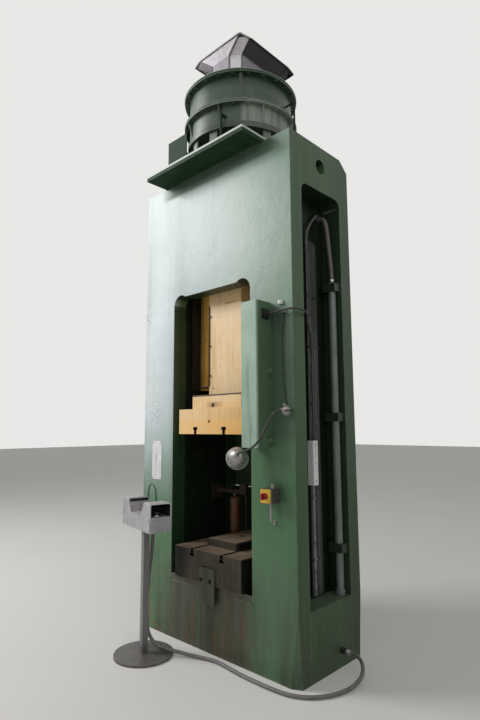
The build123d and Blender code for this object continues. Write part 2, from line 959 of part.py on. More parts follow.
def signal_cable_route():
    y = front - socket_y
    down = cable_floor + bundle_d / 2 + bundle_tie_thick + signal_cable_d / 2 + fit
    return [(cover_right + socket_plate + socket_length, y, socket_height), (692, y, socket_height),
            (742, -410, 2381),
            (794, -401, 2385), (846, -386, 2386), (866, -334, 2384), (858, -274, 2378), (826, -216, 2366),
            (778, -160, 2352), (738, -100, 2334), (716, -40, 2300), (down + 5, 2, 2240),
            (down + 1, 16, 2160), (down, 13, 2040), (down + 1, 10, 1900), (down, 14, 1760),
            (down + 1, 12, 1630),
            (down, 13, duct_top - 30)]


def signal_cable():
    return cord("signal_cable", signal_cable_route(), signal_cable_d)


def lamp_cable_route():
    y = front - lamp_cable_d / 2 - fit
    return [(742, y - 9, bracket_z), (742, y - 9, 2322), (731, y - 6, 2256), (726, y - 2, 2180), (729, y, 2090),
            (727, y, 1990), (731, y - 1, 1900), (740, y - 5, 1836), (746, y - 8, 1796),
            (746, y - 8, lamp_z + lamp_base_height / 2)]


def lamp_cable():
    return cord("lamp_cable", lamp_cable_route(), lamp_cable_d)


def lamp_base():
    low = lamp_z - lamp_base_height / 2
    left = lamp_x - lamp_base_width / 2
    body = block(left, left + lamp_base_width, front - lamp_base_depth, front, low, low + lamp_base_height)
    body = fillet(body.edges().filter_by(Axis.X).group_by(Axis.Y)[0], lamp_base_round)
    middle = lamp_z + lamp_groove_rise
    body -= block(left - 1, left + lamp_base_width + 1, front - lamp_base_depth - 1,
                  front - lamp_base_depth + lamp_groove, middle - lamp_groove - 1, middle + lamp_groove + 1)
    return body


def lamp_neck_route():
    start_y = front - lamp_base_depth + lamp_groove
    start_x = lamp_x - lamp_base_width / 2 + lamp_neck_d
    before = lamp_place() * Pos(0, 0, lamp_head_length + lamp_neck_socket + lamp_lead_in)
    start_z = lamp_z + lamp_groove_rise
    return [(start_x, start_y, start_z), (start_x, -458, start_z), (738, -502, 1676), (722, -534, 1614),
            (706, -560, 1553), (687, -584, 1505), (662, -606, 1474), (618, -628, 1454),
            (before.position.X, before.position.Y, before.position.Z), lamp_neck_end()]


def lamp_neck_end():
    place = lamp_place() * Pos(0, 0, lamp_head_length + lamp_neck_socket)
    return (place.position.X, place.position.Y, place.position.Z)


def lamp_neck():
    return cord("lamp_neck", lamp_neck_route(), lamp_neck_d)


def lamp_place():
    """The reflector's own frame: its axis runs from the mouth to the neck."""
    return Pos(*lamp_head_centre) * Rot(0, 0, lamp_head_turn) * Rot(0, lamp_head_tilt, 0)


def lamp_head():
    wall = lamp_head_wall
    back = lamp_head_length - lamp_back_wall
    throat_at = lamp_head_length - lamp_throat_back
    outer = [(lamp_head_radius, 0), (lamp_head_radius, lamp_head_band), (lamp_waist, lamp_waist_at),
             (lamp_throat, throat_at), (lamp_collar, lamp_head_length)]
    inner = [(lamp_head_radius - wall, 0), (lamp_head_radius - wall, lamp_head_band),
             (lamp_waist - wall, lamp_waist_at - wall), (lamp_throat - wall, back), (0, back)]
    profile = [(0, lamp_head_length)] + outer[::-1] + inner
    face = Face(Wire.make_polygon([(r, 0, z) for r, z in profile], close=True))
    body = revolve(face, Axis.Z, 360)
    body += upright(0, 0, lamp_head_length, lamp_head_length + lamp_neck_socket,
                    lamp_neck_d * lamp_socket_share)
    return lamp_place() * body


def lamp_bulb():
    stem = lamp_head_length - lamp_back_wall
    body = Pos(0, 0, stem - bulb_drop) * Sphere(bulb_radius)
    body += upright(0, 0, stem - bulb_drop, stem, bulb_cap)
    return lamp_place() * body


def switch_box():
    left = switch_x - switch_width / 2
    low = switch_z - switch_height / 2
    body = block(left, left + switch_width, front - switch_depth, front, low, low + switch_height)
    return fillet(body.edges().filter_by(Axis.Y), switch_round)


def switch_plate():
    half = switch_plate_size / 2
    face = front - switch_depth
    body = block(switch_x - half, switch_x + half, face - switch_plate_thick, face, switch_z - half,
                 switch_z + half)
    return fillet(body.edges().filter_by(Axis.Y), switch_plate_round)


def switch_knob():
    face = front - switch_depth - switch_plate_thick
    body = lengthwise(switch_x, face - switch_knob_depth, face, switch_z, switch_knob_radius)
    grip = block(switch_x - switch_grip / 2, switch_x + switch_grip / 2,
                 face - switch_knob_depth - switch_grip_depth, face - switch_knob_depth,
                 switch_z - switch_knob_radius, switch_z + switch_knob_radius)
    return body + grip


def switch_conduit():
    """The bent conduit below the box and the gland nut on top of it."""
    x = switch_x + conduit_x
    y = front - switch_depth / 2
    low = switch_z - switch_height / 2
    foot = low - conduit_drop
    path = FilletPolyline((x, y, low), (x, y, foot), (x, front, foot), radius=conduit_bend)
    pipe = sweep(Plane(origin=(x, y, low), z_dir=(0, 0, -1)) * Circle(conduit_d / 2), path=path)
    pipe += upright(x, y, low - gland_length / 2, low, gland_radius)
    pipe += lengthwise(x, front - gland_length / 2, front, foot, gland_radius)
    top = low + switch_height
    gland = upright(switch_x + gland_x, y, top, top + gland_length, gland_radius)
    return Compound([pipe.solid(), gland.solid()])


def name_plate():
    return block(name_left, name_left + name_width, front - name_thick, front, name_bottom,
                 name_bottom + name_height)


def riser_pipe():
    """The thick pipe in the side recess, with the nut that joins it to the base."""
    body = upright(riser_x, riser_y, recess_bottom, riser_top, riser_d / 2)
    return body + upright(riser_x, riser_y, recess_bottom, recess_bottom + riser_nut_height, riser_nut)


def pipe_clamps():
    solids = []
    for z in clamp_heights:
        clamp = block(clamp_left, clamp_left + clamp_width, riser_y - clamp_front, inner_depth,
                      z - clamp_height / 2, z + clamp_height / 2)
        clamp -= upright(riser_x, riser_y, z - clamp_height, z + clamp_height, riser_d / 2 + fit)
        solids.append(clamp.solid())
    return Compound(solids)


def recess_hose_route():
    return [(recess_floor, 150, 3206), (708, 150, 3206), (738, 154, 3180), (748, 162, 3130), (750, 174, 3050),
            (751, 187, 2940), (754, 198, 2840), (riser_x, riser_y, riser_top + 70),
            (riser_x, riser_y, riser_top)]


def recess_hose():
    return cord("recess_hose", recess_hose_route(), hose_d)


def cable_bundle():
    """Five wires side by side on the recess floor, held by ties."""
    body = None
    for y in bundle_y:
        wire = upright(cable_floor, y, bundle_bottom, bundle_top, bundle_d / 2)
        body = wire if body is None else body + wire
    low_y = bundle_y[0] - bundle_d / 2 - bundle_tie_thick
    high_y = bundle_y[-1] + bundle_d / 2 + bundle_tie_thick
    back = recess_floor
    face = cable_floor + bundle_d / 2 + bundle_tie_thick
    for z in bundle_ties:
        body += block(back, face, low_y, high_y, z, z + bundle_tie)
    return body


def duct_cover():
    """The pale channel over the first wires."""
    left_y = bundle_y[0] - bundle_d / 2 - 3 * duct_wall
    right_y = bundle_y[1] + bundle_pitch / 2 - fit / 2
    face = recess_floor + duct_reach
    body = block(recess_floor, face, left_y, right_y, duct_bottom, duct_top)
    return body - block(recess_floor - 1, face - duct_wall, left_y + duct_wall, right_y - duct_wall / 2,
                        duct_bottom - 1, duct_top + 1)


def rear_guard():
    half = window_half + guard_lap
    return block(-half, half, half_depth, half_depth + guard_thick, guard_bottom, guard_top)


def rear_flap():
    half = window_half + guard_lap
    return block(-half, half, half_depth, half_depth + flap_thick, flap_bottom, guard_bottom - flap_gap)


def rear_bracket():
    low_y = arm_y - arm_depth / 2
    high_y = arm_y + arm_depth / 2
    body = block(-window_half, arm_end, low_y, high_y, arm_bottom, arm_top)
    body += block(-window_half, arm_pad_thick - window_half, arm_y - arm_pad, arm_y + arm_pad,
                  arm_bottom - arm_pad, arm_top + arm_pad / 2)
    body += block(arm_end - block_width, arm_end, low_y, high_y, arm_top, arm_top + block_height)
    body += upright(arm_end - 2 * rear_rod_radius, arm_y, arm_bottom - rear_rod_drop, arm_bottom,
                    rear_rod_radius)
    return body


def rear_cylinder():
    body = upright(cylinder_x, arm_y, rear_cylinder_bottom, rear_cylinder_top, rear_cylinder_radius)
    body = chamfer(body.edges().group_by(Axis.Z)[-1], rear_cylinder_chamfer)
    return body + upright(cylinder_x, arm_y, rear_cylinder_top, arm_bottom, rear_neck_radius)


def stand_place(x, y, z):
    """A place on the control stand, whose length is turned from the press."""
    return Pos(stand_x, stand_y, 0) * Rot(0, 0, stand_turn) * Pos(x, y, z)


def console_stand():
    """The foot disc and the square post, welded."""
    body = upright(0, 0, 0, foot_thick, foot_radius)
    body += block(-post_size / 2, post_size / 2, -post_size / 2, post_size / 2, foot_thick, console_bottom)
    inner = post_size / 2 - post_wall
    body -= block(-inner, inner, -inner, inner, foot_thick, console_bottom + 1)
    return stand_place(0, 0, 0) * body


def console_body():
    """The cast housing: a low middle and a hood at each end, with its mouth facing outwards."""
    half = console_length / 2
    deep = console_depth / 2
    top = console_bottom + console_body_height
    body = block(-half, half, -deep, deep, console_bottom, top)
    for side in (-1, 1):
        body += console_hood(side)
    body = body - block(console_wall - half, half - console_wall, console_wall - deep, deep - console_wall,
                        console_bottom + console_wall, top - console_wall)
    for side in (-1, 1):
        x = side * (half - palm_inset)
        body -= upright(x, 0, top - console_wall - 1, top + 1, console_palm_stem + fit)
    body -= upright(0, 0, top - console_wall - 1, top + 1, start_radius + fit)
    return stand_place(0, 0, 0) * body


def console_hood(side):
    """One hood: a sloped fairing outside, open to its own end."""
    half = console_length / 2
    deep = console_depth / 2
    top = console_bottom + console_body_height
    crown = console_bottom + console_hood_height
    inner = half - console_hood_length
    slope_top = inner + console_hood_slope
    points = [(side * inner, top), (side * slope_top, crown), (side * half, crown), (side * half, top)]
    outline = Face(Wire.make_polygon([(x, -deep, z) for x, z in points], close=True))
    shell = extrude(outline, console_depth, dir=(0, 1, 0))
    top_edges = shell.edges().filter_by(Axis.X).group_by(Axis.Z)[-1]
    shell = fillet(top_edges, console_round)
    wall = console_hood_wall
    room_in = side * (inner + console_hood_back)
    room = block(room_in, side * (half + 1), wall - deep, deep - wall, top, crown - wall)
    room = fillet(room.edges().filter_by(Axis.X).group_by(Axis.Z)[-1], console_round)
    return shell - room


def palm_button(side):
    top = console_bottom + console_body_height
    low = top + palm_travel + palm_play
    x = side * (console_length / 2 - palm_inset)
    body = upright(x, 0, low, low + console_palm_height, console_palm_radius)
    body = fillet(body.edges().group_by(Axis.Z)[-1], palm_round)
    body += upright(x, 0, top - 2 * console_wall - palm_travel, low, console_palm_stem)
    return stand_place(0, 0, 0) * body


def palm_button_left():
    return palm_button(-1)


def palm_button_right():
    return palm_button(1)


def start_button():
    top = console_bottom + console_body_height
    body = upright(0, 0, top - 2 * console_wall, top + start_travel + start_proud, start_radius)
    return stand_place(0, 0, 0) * body


def hose_fittings():
    """The hose fitting under the console and the gland on the base's right side."""
    low = console_bottom - console_exit_length
    upper = stand_place(*console_exit(), 0) * upright(0, 0, low, console_bottom, console_exit_d / 2)
    lower = crosswise(half_width, half_width + press_gland_length, press_gland_y, press_gland_z,
                      press_gland_d / 2)
    return Compound([upper.solid(), lower.solid()])


def console_exit():
    return (0, console_depth / 2 - console_exit_in)


def console_hose_route():
    leave = stand_place(*console_exit(), console_bottom - console_exit_length).position
    floor = console_hose_d / 2 + 1
    end_x = half_width + press_gland_length
    return [(leave.X, leave.Y, leave.Z), (leave.X, leave.Y, 772), (-316, -649, 660), (-336, -651, 540),
            (-354, -650, 420), (-363, -646, 310), (-365, -641, 215), (-362, -639, 145), (-328, -628, 80),
            (-264, -608, 43), (-192, -588, 37), (-116, -562, 37), (-44, -518, 22), (44, -474, floor),
            (140, -444, floor), (240, -446, floor), (345, -460, floor), (460, -469, floor), (580, -470, floor),
            (700, -468, floor), (812, -452, floor), (905, -400, floor), (975, -316, floor), (1018, -216, floor),
            (1042, -116, 20), (1048, -16, 52), (1008, 58, 90), (end_x + 82, press_gland_y, press_gland_z),
            (end_x, press_gland_y, press_gland_z)]


def console_hose():
    return cord("console_hose", console_hose_route(), console_hose_d)


def console_loop_route():
    """The short lead that rises behind the left hood and returns into the housing."""
    back = console_depth / 2
    low = console_bottom + 60
    local = [(-160, back, low), (-160, back + 36, low), (-158, back + 62, low + 34),
             (-154, back + 66, low + 95),
             (-160, back + 64, 1112), (-196, back + 60, 1162), (-248, back + 58, 1166), (-284, back + 58, 1120),
             (-291, back + 60, 1052), (-286, back + 64, 985), (-274, back + 58, low + 12),
             (-262, back + 34, low), (-262, back, low)]
    return [tuple(stand_place(*point).position) for point in local]


def console_loop():
    return cord("console_loop", console_loop_route(), loop_d)


def drum_pipe():
    """The thin bent pipe beside the drum, from the deck to the drum's rim."""
    x = drum_radius + drum_pipe_off
    low = frame_height + deck_floor
    high = shell_joint + drum_pipe_rise
    points = [(x, drum_pipe_y, low), (x, drum_pipe_y, high), (0, drum_pipe_y, high)]
    path = FilletPolyline(*points, radius=drum_pipe_bend)
    start = Plane(origin=points[0], z_dir=(0, 0, 1))
    pipe = sweep(start * Circle(drum_pipe_radius), path=path)
    return pipe - upright(0, 0, low, high + drum_pipe_bend, drum_radius + fit)


nodes = [frame_front, frame_back, frame_webs, frame_head, frame_base, top_deck, drum_lower_shell,
         drum_upper_shell, drum_cover, drum_bolts, motor_hood, stator_ring, flywheel, screw_spindle, screw_nut,
         screw_bearings, brake_disc, brake_caliper, slide, slide_plate, slide_bolts, guide_rails,
         slide_oil_line, bolster, bolster_bolts, die_seat, ejector_rod, ejector_cylinder, ejector_cover,
         scale_cover, cable_socket, signal_cable, lamp_cable, lamp_base, lamp_neck, lamp_head, lamp_bulb,
         switch_box, switch_plate, switch_knob, switch_conduit, name_plate, riser_pipe, pipe_clamps,
         recess_hose, cable_bundle, duct_cover, rear_guard, rear_flap, rear_bracket, rear_cylinder,
         console_stand, console_body, palm_button_left, palm_button_right, start_button, hose_fittings,
         console_hose, console_loop, drum_pipe]

os.makedirs("parts", exist_ok=True)
for node in nodes:
    export_step(node(), "parts/" + node.__name__ + ".step")
print(len(nodes), "nodes")
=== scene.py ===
"""A screw press with its slide, bolster, work lamp and two-hand control stand, as it stands in a works."""
import math
import bpy
import numpy as np
from mathutils import Matrix, Vector


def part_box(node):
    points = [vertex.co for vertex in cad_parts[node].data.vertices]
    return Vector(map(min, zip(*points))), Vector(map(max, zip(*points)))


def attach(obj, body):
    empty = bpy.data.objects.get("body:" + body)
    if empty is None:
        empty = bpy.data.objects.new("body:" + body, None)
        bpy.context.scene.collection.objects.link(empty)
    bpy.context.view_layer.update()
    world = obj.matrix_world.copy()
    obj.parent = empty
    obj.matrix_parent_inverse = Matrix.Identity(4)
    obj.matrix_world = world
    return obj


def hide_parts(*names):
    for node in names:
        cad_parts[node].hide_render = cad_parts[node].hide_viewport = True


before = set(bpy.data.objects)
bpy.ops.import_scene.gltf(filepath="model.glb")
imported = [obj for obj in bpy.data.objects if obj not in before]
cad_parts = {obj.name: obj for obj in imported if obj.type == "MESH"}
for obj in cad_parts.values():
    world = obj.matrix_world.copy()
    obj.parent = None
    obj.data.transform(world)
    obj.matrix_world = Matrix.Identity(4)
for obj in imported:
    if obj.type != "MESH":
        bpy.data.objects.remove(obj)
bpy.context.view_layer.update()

# Camera: the photograph's frame in pixels and millimetres, and the place where it was taken, in metres
photo_height = 720
focal_pixels = 512.8
sensor_size = 36.0
camera_place = (2.885, -3.031, 1.600)
camera_turn = math.radians(43.80)
camera_pitch = math.radians(7.53)
camera_roll = math.radians(-0.28)
nearest_seen, farthest_seen = 0.05, 200


def place_in_scene(name, data):
    """A new object that holds the data and stands in the scene."""
    made = bpy.data.objects.new(name, data)
    bpy.context.scene.collection.objects.link(made)
    return made


def make_camera():
    ahead = Vector((-math.sin(camera_turn), math.cos(camera_turn), 0))
    right = Vector((math.cos(camera_turn), math.sin(camera_turn), 0))
    looking = ahead * math.cos(camera_pitch) + Vector((0, 0, math.sin(camera_pitch)))
    up = Vector((0, 0, math.cos(camera_pitch))) - ahead * math.sin(camera_pitch)
    tilted_right = right * math.cos(camera_roll) + up * math.sin(camera_roll)
    tilted_up = up * math.cos(camera_roll) - right * math.sin(camera_roll)
    camera = place_in_scene("camera", bpy.data.cameras.new("camera"))
    camera.data.sensor_width = sensor_size
    camera.data.lens = focal_pixels / photo_height * sensor_size
    camera.data.clip_start = nearest_seen
    camera.data.clip_end = farthest_seen
    turn = Matrix((tilted_right, tilted_up, -looking)).transposed()
    camera.matrix_world = Matrix.Translation(camera_place) @ turn.to_4x4()
    bpy.context.scene.camera = camera


make_camera()

# Shader building


def plug(tree, socket, value):
    """Links a socket to another one, or sets its plain value."""
    if isinstance(value, bpy.types.NodeSocket):
        tree.links.new(value, socket)
    else:
        socket.default_value = value


def shade(tree, kind, inputs=None, **properties):
    """A new shader node with its properties and inputs set."""
    made = tree.nodes.new(kind)
    for name, value in properties.items():
        setattr(made, name, value)
    for key, value in (inputs or {}).items():
        plug(tree, made.inputs[key], value)
    return made


def reckon(tree, operation, a, b=0.0):
    return shade(tree, "ShaderNodeMath", {0: a, 1: b}, operation=operation).outputs[0]


def times(tree, a, b):
    return reckon(tree, "MULTIPLY", a, b)


def ramp(tree, value, low, high, start=0.0, end=1.0):
    """Runs from start to end while the value goes from low to high."""
    return shade(tree, "ShaderNodeMapRange", {"Value": value, "From Min": low, "From Max": high,
                                              "To Min": start, "To Max": end}).outputs["Result"]


def noise(tree, place, scale, detail, rough=0.5):
    return shade(tree, "ShaderNodeTexNoise", {"Vector": place, "Scale": scale, "Detail": detail,
                                              "Roughness": rough}).outputs["Fac"]


def axis_parts(tree, direction):
    return shade(tree, "ShaderNodeSeparateXYZ", {0: direction}).outputs


def surface_normal(tree):
    return shade(tree, "ShaderNodeNewGeometry").outputs["Normal"]


def tint(tree, share, under, over):
    """The over colour laid on the under colour by a share."""
    return shade(tree, "ShaderNodeMix", {0: share, 6: under, 7: over}, data_type="RGBA").outputs[2]


def colour(red, green, blue):
    """A colour as it is seen, from 0 to 255, made linear."""
    seen = np.array((red, green, blue)) / 255
    linear = np.where(seen > 0.04045, ((seen + 0.055) / 1.055) ** 2.4, seen / 12.92)
    return (*linear.tolist(), 1.0)


def mask_group(name, build, **numbers):
    """A shader node group, made once and placed in many materials: a place and numbers in, a mask out."""
    tree = bpy.data.node_groups.new(name, "ShaderNodeTree")
    tree.interface.new_socket(name="Vector", in_out="INPUT", socket_type="NodeSocketVector")
    for label, value in numbers.items():
        socket = tree.interface.new_socket(name=label, in_out="INPUT", socket_type="NodeSocketFloat")
        socket.default_value = value
    tree.interface.new_socket(name="Mask", in_out="OUTPUT", socket_type="NodeSocketFloat")
    taken = tree.nodes.new("NodeGroupInput").outputs
    plug(tree, tree.nodes.new("NodeGroupOutput").inputs["Mask"], build(tree, taken))
    return tree


def build_mottle(tree, taken):
    """Soft patches."""
    return ramp(tree, noise(tree, taken["Vector"], taken["Scale"], 5.0, 0.62), taken["Low"], taken["High"])


def build_runs(tree, taken):
    """Streaks that run up and down: patches squeezed across and drawn out along the height."""
    squeeze = shade(tree, "ShaderNodeCombineXYZ", {0: taken["Across"], 1: taken["Across"], 2: taken["Along"]})
    stretched = shade(tree, "ShaderNodeVectorMath", {0: taken["Vector"], 1: squeeze.outputs[0]},
                      operation="MULTIPLY")
    return ramp(tree, noise(tree, stretched.outputs[0], 1.0, 4.0, 0.55), taken["Low"], taken["High"])


def build_edge_rub(tree, taken):
    """Outer edges, where a rounded normal turns away from the real one, broken up by patches."""
    rounded = shade(tree, "ShaderNodeBevel", {"Radius": taken["Width"]}, samples=4)
    alike = shade(tree, "ShaderNodeVectorMath", {0: rounded.outputs[0], 1: surface_normal(tree)},
                  operation="DOT_PRODUCT")
    edge = ramp(tree, alike.outputs["Value"], 0.985, 0.80)
    patches = noise(tree, taken["Vector"], taken["Break"], 4.0, 0.7)
    return times(tree, edge, ramp(tree, patches, taken["Low"], taken["High"]))


def build_settled(tree, taken):
    """Faces that look up, more or less covered."""
    level = ramp(tree, axis_parts(tree, surface_normal(tree))["Z"], 0.25, 0.95)
    patches = noise(tree, taken["Vector"], taken["Scale"], 6.0, 0.6)
    return times(tree, level, ramp(tree, patches, 0.25, 0.7, 0.35, 1.0))


def build_chips(tree, taken):
    """Small spots that come in patches: cells filled from their middles as far as the patch allows."""
    cells = shade(tree, "ShaderNodeTexVoronoi", {"Vector": taken["Vector"], "Scale": taken["Scale"]})
    limit = ramp(tree, noise(tree, taken["Vector"], taken["Patch"], 3.0), 0.5, 0.78, 0.0, 0.34)
    return ramp(tree, reckon(tree, "SUBTRACT", limit, cells.outputs["Distance"]), 0.0, 0.03)


def build_band(tree, taken):
    """Rises from start to full along one axis of the object, with a ragged edge."""
    shift = ramp(tree, noise(tree, taken["Vector"], 3.5, 5.0), 0.0, 1.0, -1.0, 1.0)
    place = reckon(tree, "ADD", taken["Along"], times(tree, shift, taken["Ragged"]))
    return ramp(tree, place, taken["Start"], taken["Full"])


MOTTLE = mask_group("mottle", build_mottle, Scale=3.0, Low=0.4, High=0.7)
RUNS = mask_group("runs", build_runs, Across=12.0, Along=0.6, Low=0.45, High=0.75)
EDGE_RUB = mask_group("edge_rub", build_edge_rub, Width=0.005, Break=12.0, Low=0.35, High=0.6)
SETTLED = mask_group("settled_dust", build_settled, Scale=8.0)
CHIPS = mask_group("chips", build_chips, Scale=60.0, Patch=4.0)
BAND = mask_group("band", build_band, Along=0.0, Start=0.0, Full=1.0, Ragged=0.0)


class Finish:
    """One material being laid up: a base colour, then layers that each cover a share of it.

    A layer is a colour, how much of it covers at most, and maybe its own roughness.
    """

    def __init__(self, name, base, rough, metal=0.0, specular=0.5):
        self.material = bpy.data.materials.new(name)
        self.material.use_nodes = True
        self.tree = self.material.node_tree
        self.shader = self.tree.nodes["Principled BSDF"]
        self.shader.inputs["Metallic"].default_value = metal
        self.shader.inputs["Specular IOR Level"].default_value = specular
        self.place = shade(self.tree, "ShaderNodeTexCoord").outputs["Object"]
        self.axis = dict(zip("xyz", axis_parts(self.tree, self.place)))
        self.colour = colour(*base)
        self.rough = rough
        self.height = None

    def group(self, kind, **inputs):
        made = shade(self.tree, "ShaderNodeGroup", node_tree=kind)
        plug(self.tree, made.inputs["Vector"], self.place)
        for label, value in inputs.items():
            plug(self.tree, made.inputs[label], value)
        return made.outputs["Mask"]

    def zone(self, *bands):
        """The share where every band holds: each is an axis, a start, a full place and maybe a raggedness."""
        share = None
        for axis, start, full, *ragged in bands:
            mask = self.group(BAND, Along=self.axis[axis], Start=start, Full=full, Ragged=sum(ragged))
            share = mask if share is None else times(self.tree, share, mask)
        return share

    def underside(self):
        """The share of faces that look down."""
        return ramp(self.tree, axis_parts(self.tree, surface_normal(self.tree))["Z"], -0.35, -0.85)

    def lay(self, mask, over, amount=1.0, rough=None, within=None):
        """Lays a layer over the finish where the mask is, and only within a zone where one is given."""
        if within is not None:
            mask = times(self.tree, mask, within)
        share = times(self.tree, mask, amount)
        self.colour = tint(self.tree, share, self.colour, colour(*over))
        if rough is not None:
            mixed = shade(self.tree, "ShaderNodeMix", {0: share, 2: self.rough, 3: rough}, data_type="FLOAT")
            self.rough = mixed.outputs[0]

    def mottled(self, scale, low, high, *layer, within=None):
        self.lay(self.group(MOTTLE, Scale=scale, Low=low, High=high), *layer, within=within)

    def streaked(self, across, along, low, high, *layer, within=None):
        self.lay(self.group(RUNS, Across=across, Along=along, Low=low, High=high), *layer, within=within)

    def chipped(self, scale, patch, *layer, within=None):
        self.lay(self.group(CHIPS, Scale=scale, Patch=patch), *layer, within=within)

    def rubbed(self, width, patch, low, high, *layer):
        self.lay(self.group(EDGE_RUB, Width=width, Break=patch, Low=low, High=high), *layer)

    def dusty(self, scale, *layer):
        self.lay(self.group(SETTLED, Scale=scale), *layer)

    def relief(self, mask, depth):
        """Adds a height, in metres, where the mask is."""
        part = times(self.tree, mask, depth)
        self.height = part if self.height is None else reckon(self.tree, "ADD", self.height, part)

    def grained(self, scale, depth, low=0.3, high=0.7):
        self.relief(self.group(MOTTLE, Scale=scale, Low=low, High=high), depth)

    def done(self):
        plug(self.tree, self.shader.inputs["Base Color"], self.colour)
        plug(self.tree, self.shader.inputs["Roughness"], self.rough)
        if self.height is not None:
            bump = shade(self.tree, "ShaderNodeBump", {"Height": self.height, "Distance": 1.0})
            bump.inputs["Strength"].default_value = 1.0
            plug(self.tree, self.shader.inputs["Normal"], bump.outputs[0])
        return self.material


# Places that finishes and pieces share, in metres
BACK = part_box("frame_back")[1].y
FRONT = -BACK
HOOD_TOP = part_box("motor_hood")[1].z
HOOD_KINK = HOOD_TOP - 0.100

# Finishes: their zones are places on the press, and the numbers before a layer are its pattern's own
ON_FRONT = ("y", -0.3, -0.36)
fold_slope = 1.54


def frame_paint():
    """Old green machine paint with runs of oil, and dirt and rust above the floor; painted glare and sheen
    pale on the front above, painted shadows of the deck and cover box, and painted shade in the recesses, on
    the window's jamb, on the right side, under the bolster and on faces that look down.
    """
    coat = Finish("frame_paint", (78, 118, 80), 0.34)
    # painted glare: the front painted pale and bluish above and up the left post, with a whiter painted sheen
    # higher on the left
    painted_glare = coat.zone(("x", 0.94, -0.7, 0.1), ("z", 1.3, 2.05, 0.18), ON_FRONT)
    coat.lay(painted_glare, (201, 210, 220), 0.84, 0.42)
    left_post_glare = coat.zone(("x", -0.36, -0.5, 0.03), ("z", 0.95, 1.45, 0.12), ON_FRONT)
    coat.lay(left_post_glare, (206, 220, 222), 0.7, 0.4)
    sheen = coat.zone(("x", -0.4, -0.66, 0.05), ("z", 1.5, 1.9, 0.15), ("z", 3.2, 2.5, 0.1), ON_FRONT)
    coat.lay(sheen, (240, 246, 250), 0.85, 0.38)
    # painted shade: the upper front toned down to a greyer green, and the lower right a darker green
    coat.lay(coat.zone(("z", 2.5, 3.2, 0.1), ON_FRONT), (120, 144, 132), 0.52)
    coat.lay(coat.zone(("x", 0.35, 0.6, 0.05), ("z", 1.95, 1.35, 0.1), ON_FRONT), (64, 102, 66), 0.6)
    # painted shadow of the cover box on the front beside it
    cover_shadow = coat.zone(("x", 0.585, 0.635, 0.01), ("z", 1.44, 1.56, 0.03), ("z", 2.44, 2.36, 0.02),
                             ON_FRONT)
    coat.lay(cover_shadow, (42, 70, 44), 0.78, 0.5)
    junction = coat.zone(("x", 0.6, 0.64, 0.02), ("x", 0.76, 0.7, 0.02), ("z", 2.22, 2.32, 0.02),
                         ("z", 2.47, 2.41, 0.02), ON_FRONT)
    coat.lay(junction, (18, 30, 20), 0.6, 0.6)
    # painted shadow of the deck on the top of the front
    deck_shadow = coat.zone(("z", 3.562, 3.592, 0.01), ("x", -0.62, -0.46, 0.02), ("x", 0.74, 0.64, 0.02),
                           ON_FRONT)
    coat.lay(deck_shadow, (40, 66, 42), 0.92, 0.6)
    coat.mottled(1.4, 0.42, 0.7, (124, 150, 132), 0.22)
    coat.streaked(9, 0.45, 0.52, 0.72, (78, 104, 82), 0.28)
    coat.streaked(34, 1.2, 0.58, 0.74, (150, 170, 156), 0.16)
    # painted shade on the inner faces of the window and recesses
    inner = coat.zone(("y", -0.246, -0.2415), ("y", 0.246, 0.2415), ("z", 0.425, 0.435), ("z", 3.345, 3.337))
    coat.lay(inner, (26, 40, 26), 0.9, 0.45)
    # painted shade: the right side face a darker olive green, darker still towards the back
    side = coat.zone(("x", 0.812, 0.818))
    coat.lay(side, (54, 84, 46), 0.88, 0.5)
    coat.lay(coat.zone(("y", 0.1, 0.3, 0.03)), (34, 54, 30), 0.6, within=side)
    # painted shade on the window's left jamb
    shaded_jamb = coat.zone(("x", -0.4345, -0.4332), ("x", -0.4318, -0.4328), ("z", 0.4, 0.42))
    coat.lay(shaded_jamb, (28, 58, 32), 0.92)
    # painted shade on faces that look down
    coat.lay(coat.underside(), (22, 38, 24), 0.9)
    coat.streaked(26, 0.5, 0.45, 0.7, (46, 64, 40), 0.55, within=side)
    low = coat.zone(("z", 0.85, 0.05, 0.16))
    coat.streaked(7, 1.2, 0.3, 0.62, (58, 66, 48), 0.85, 0.6, within=low)
    # painted shade: a dark strip on the table's front under the bolster
    bolster_shadow_strip = coat.zone(("z", 0.4252, 0.4256), ("z", 0.4748, 0.4744), ("x", -0.4328, -0.4322),
                            ("x", 0.4328, 0.4322))
    coat.lay(bolster_shadow_strip, (36, 40, 30), 0.7, 0.6)
    under_table = coat.zone(("z", 0.64, 0.44, 0.06), ("x", -0.54, -0.36, 0.05), ("x", 0.5, 0.34, 0.06),
                            ("y", -0.3, -0.34))
    coat.lay(under_table, (92, 94, 74), 0.7, 0.5)
    coat.streaked(11, 0.7, 0.22, 0.55, (50, 50, 36), 0.85, 0.42, within=under_table)
    coat.streaked(24, 1.6, 0.5, 0.66, (108, 84, 50), 0.5, 0.6, within=under_table)
    corner = coat.zone(("z", 0.62, 0.3, 0.15), ("x", -0.5, -0.62, 0.05))
    coat.mottled(9, 0.46, 0.62, (128, 84, 44), 0.75, 0.65, within=corner)
    coat.chipped(48, 2.2, (58, 60, 50), 0.8, 0.62)
    scuffed = coat.zone(("z", 0.75, 0.35, 0.2), ("x", 0.5, 0.72, 0.08))
    coat.chipped(26, 9, (54, 50, 40), 0.85, 0.62, within=scuffed)
    coat.rubbed(0.008, 9, 0.42, 0.62, (176, 186, 172), 0.5, 0.45)
    coat.dusty(6, (112, 114, 100), 0.45, 0.75)
    coat.grained(5, 0.0016, 0.2, 0.8)
    coat.grained(90, 0.00012)
    return coat.done()


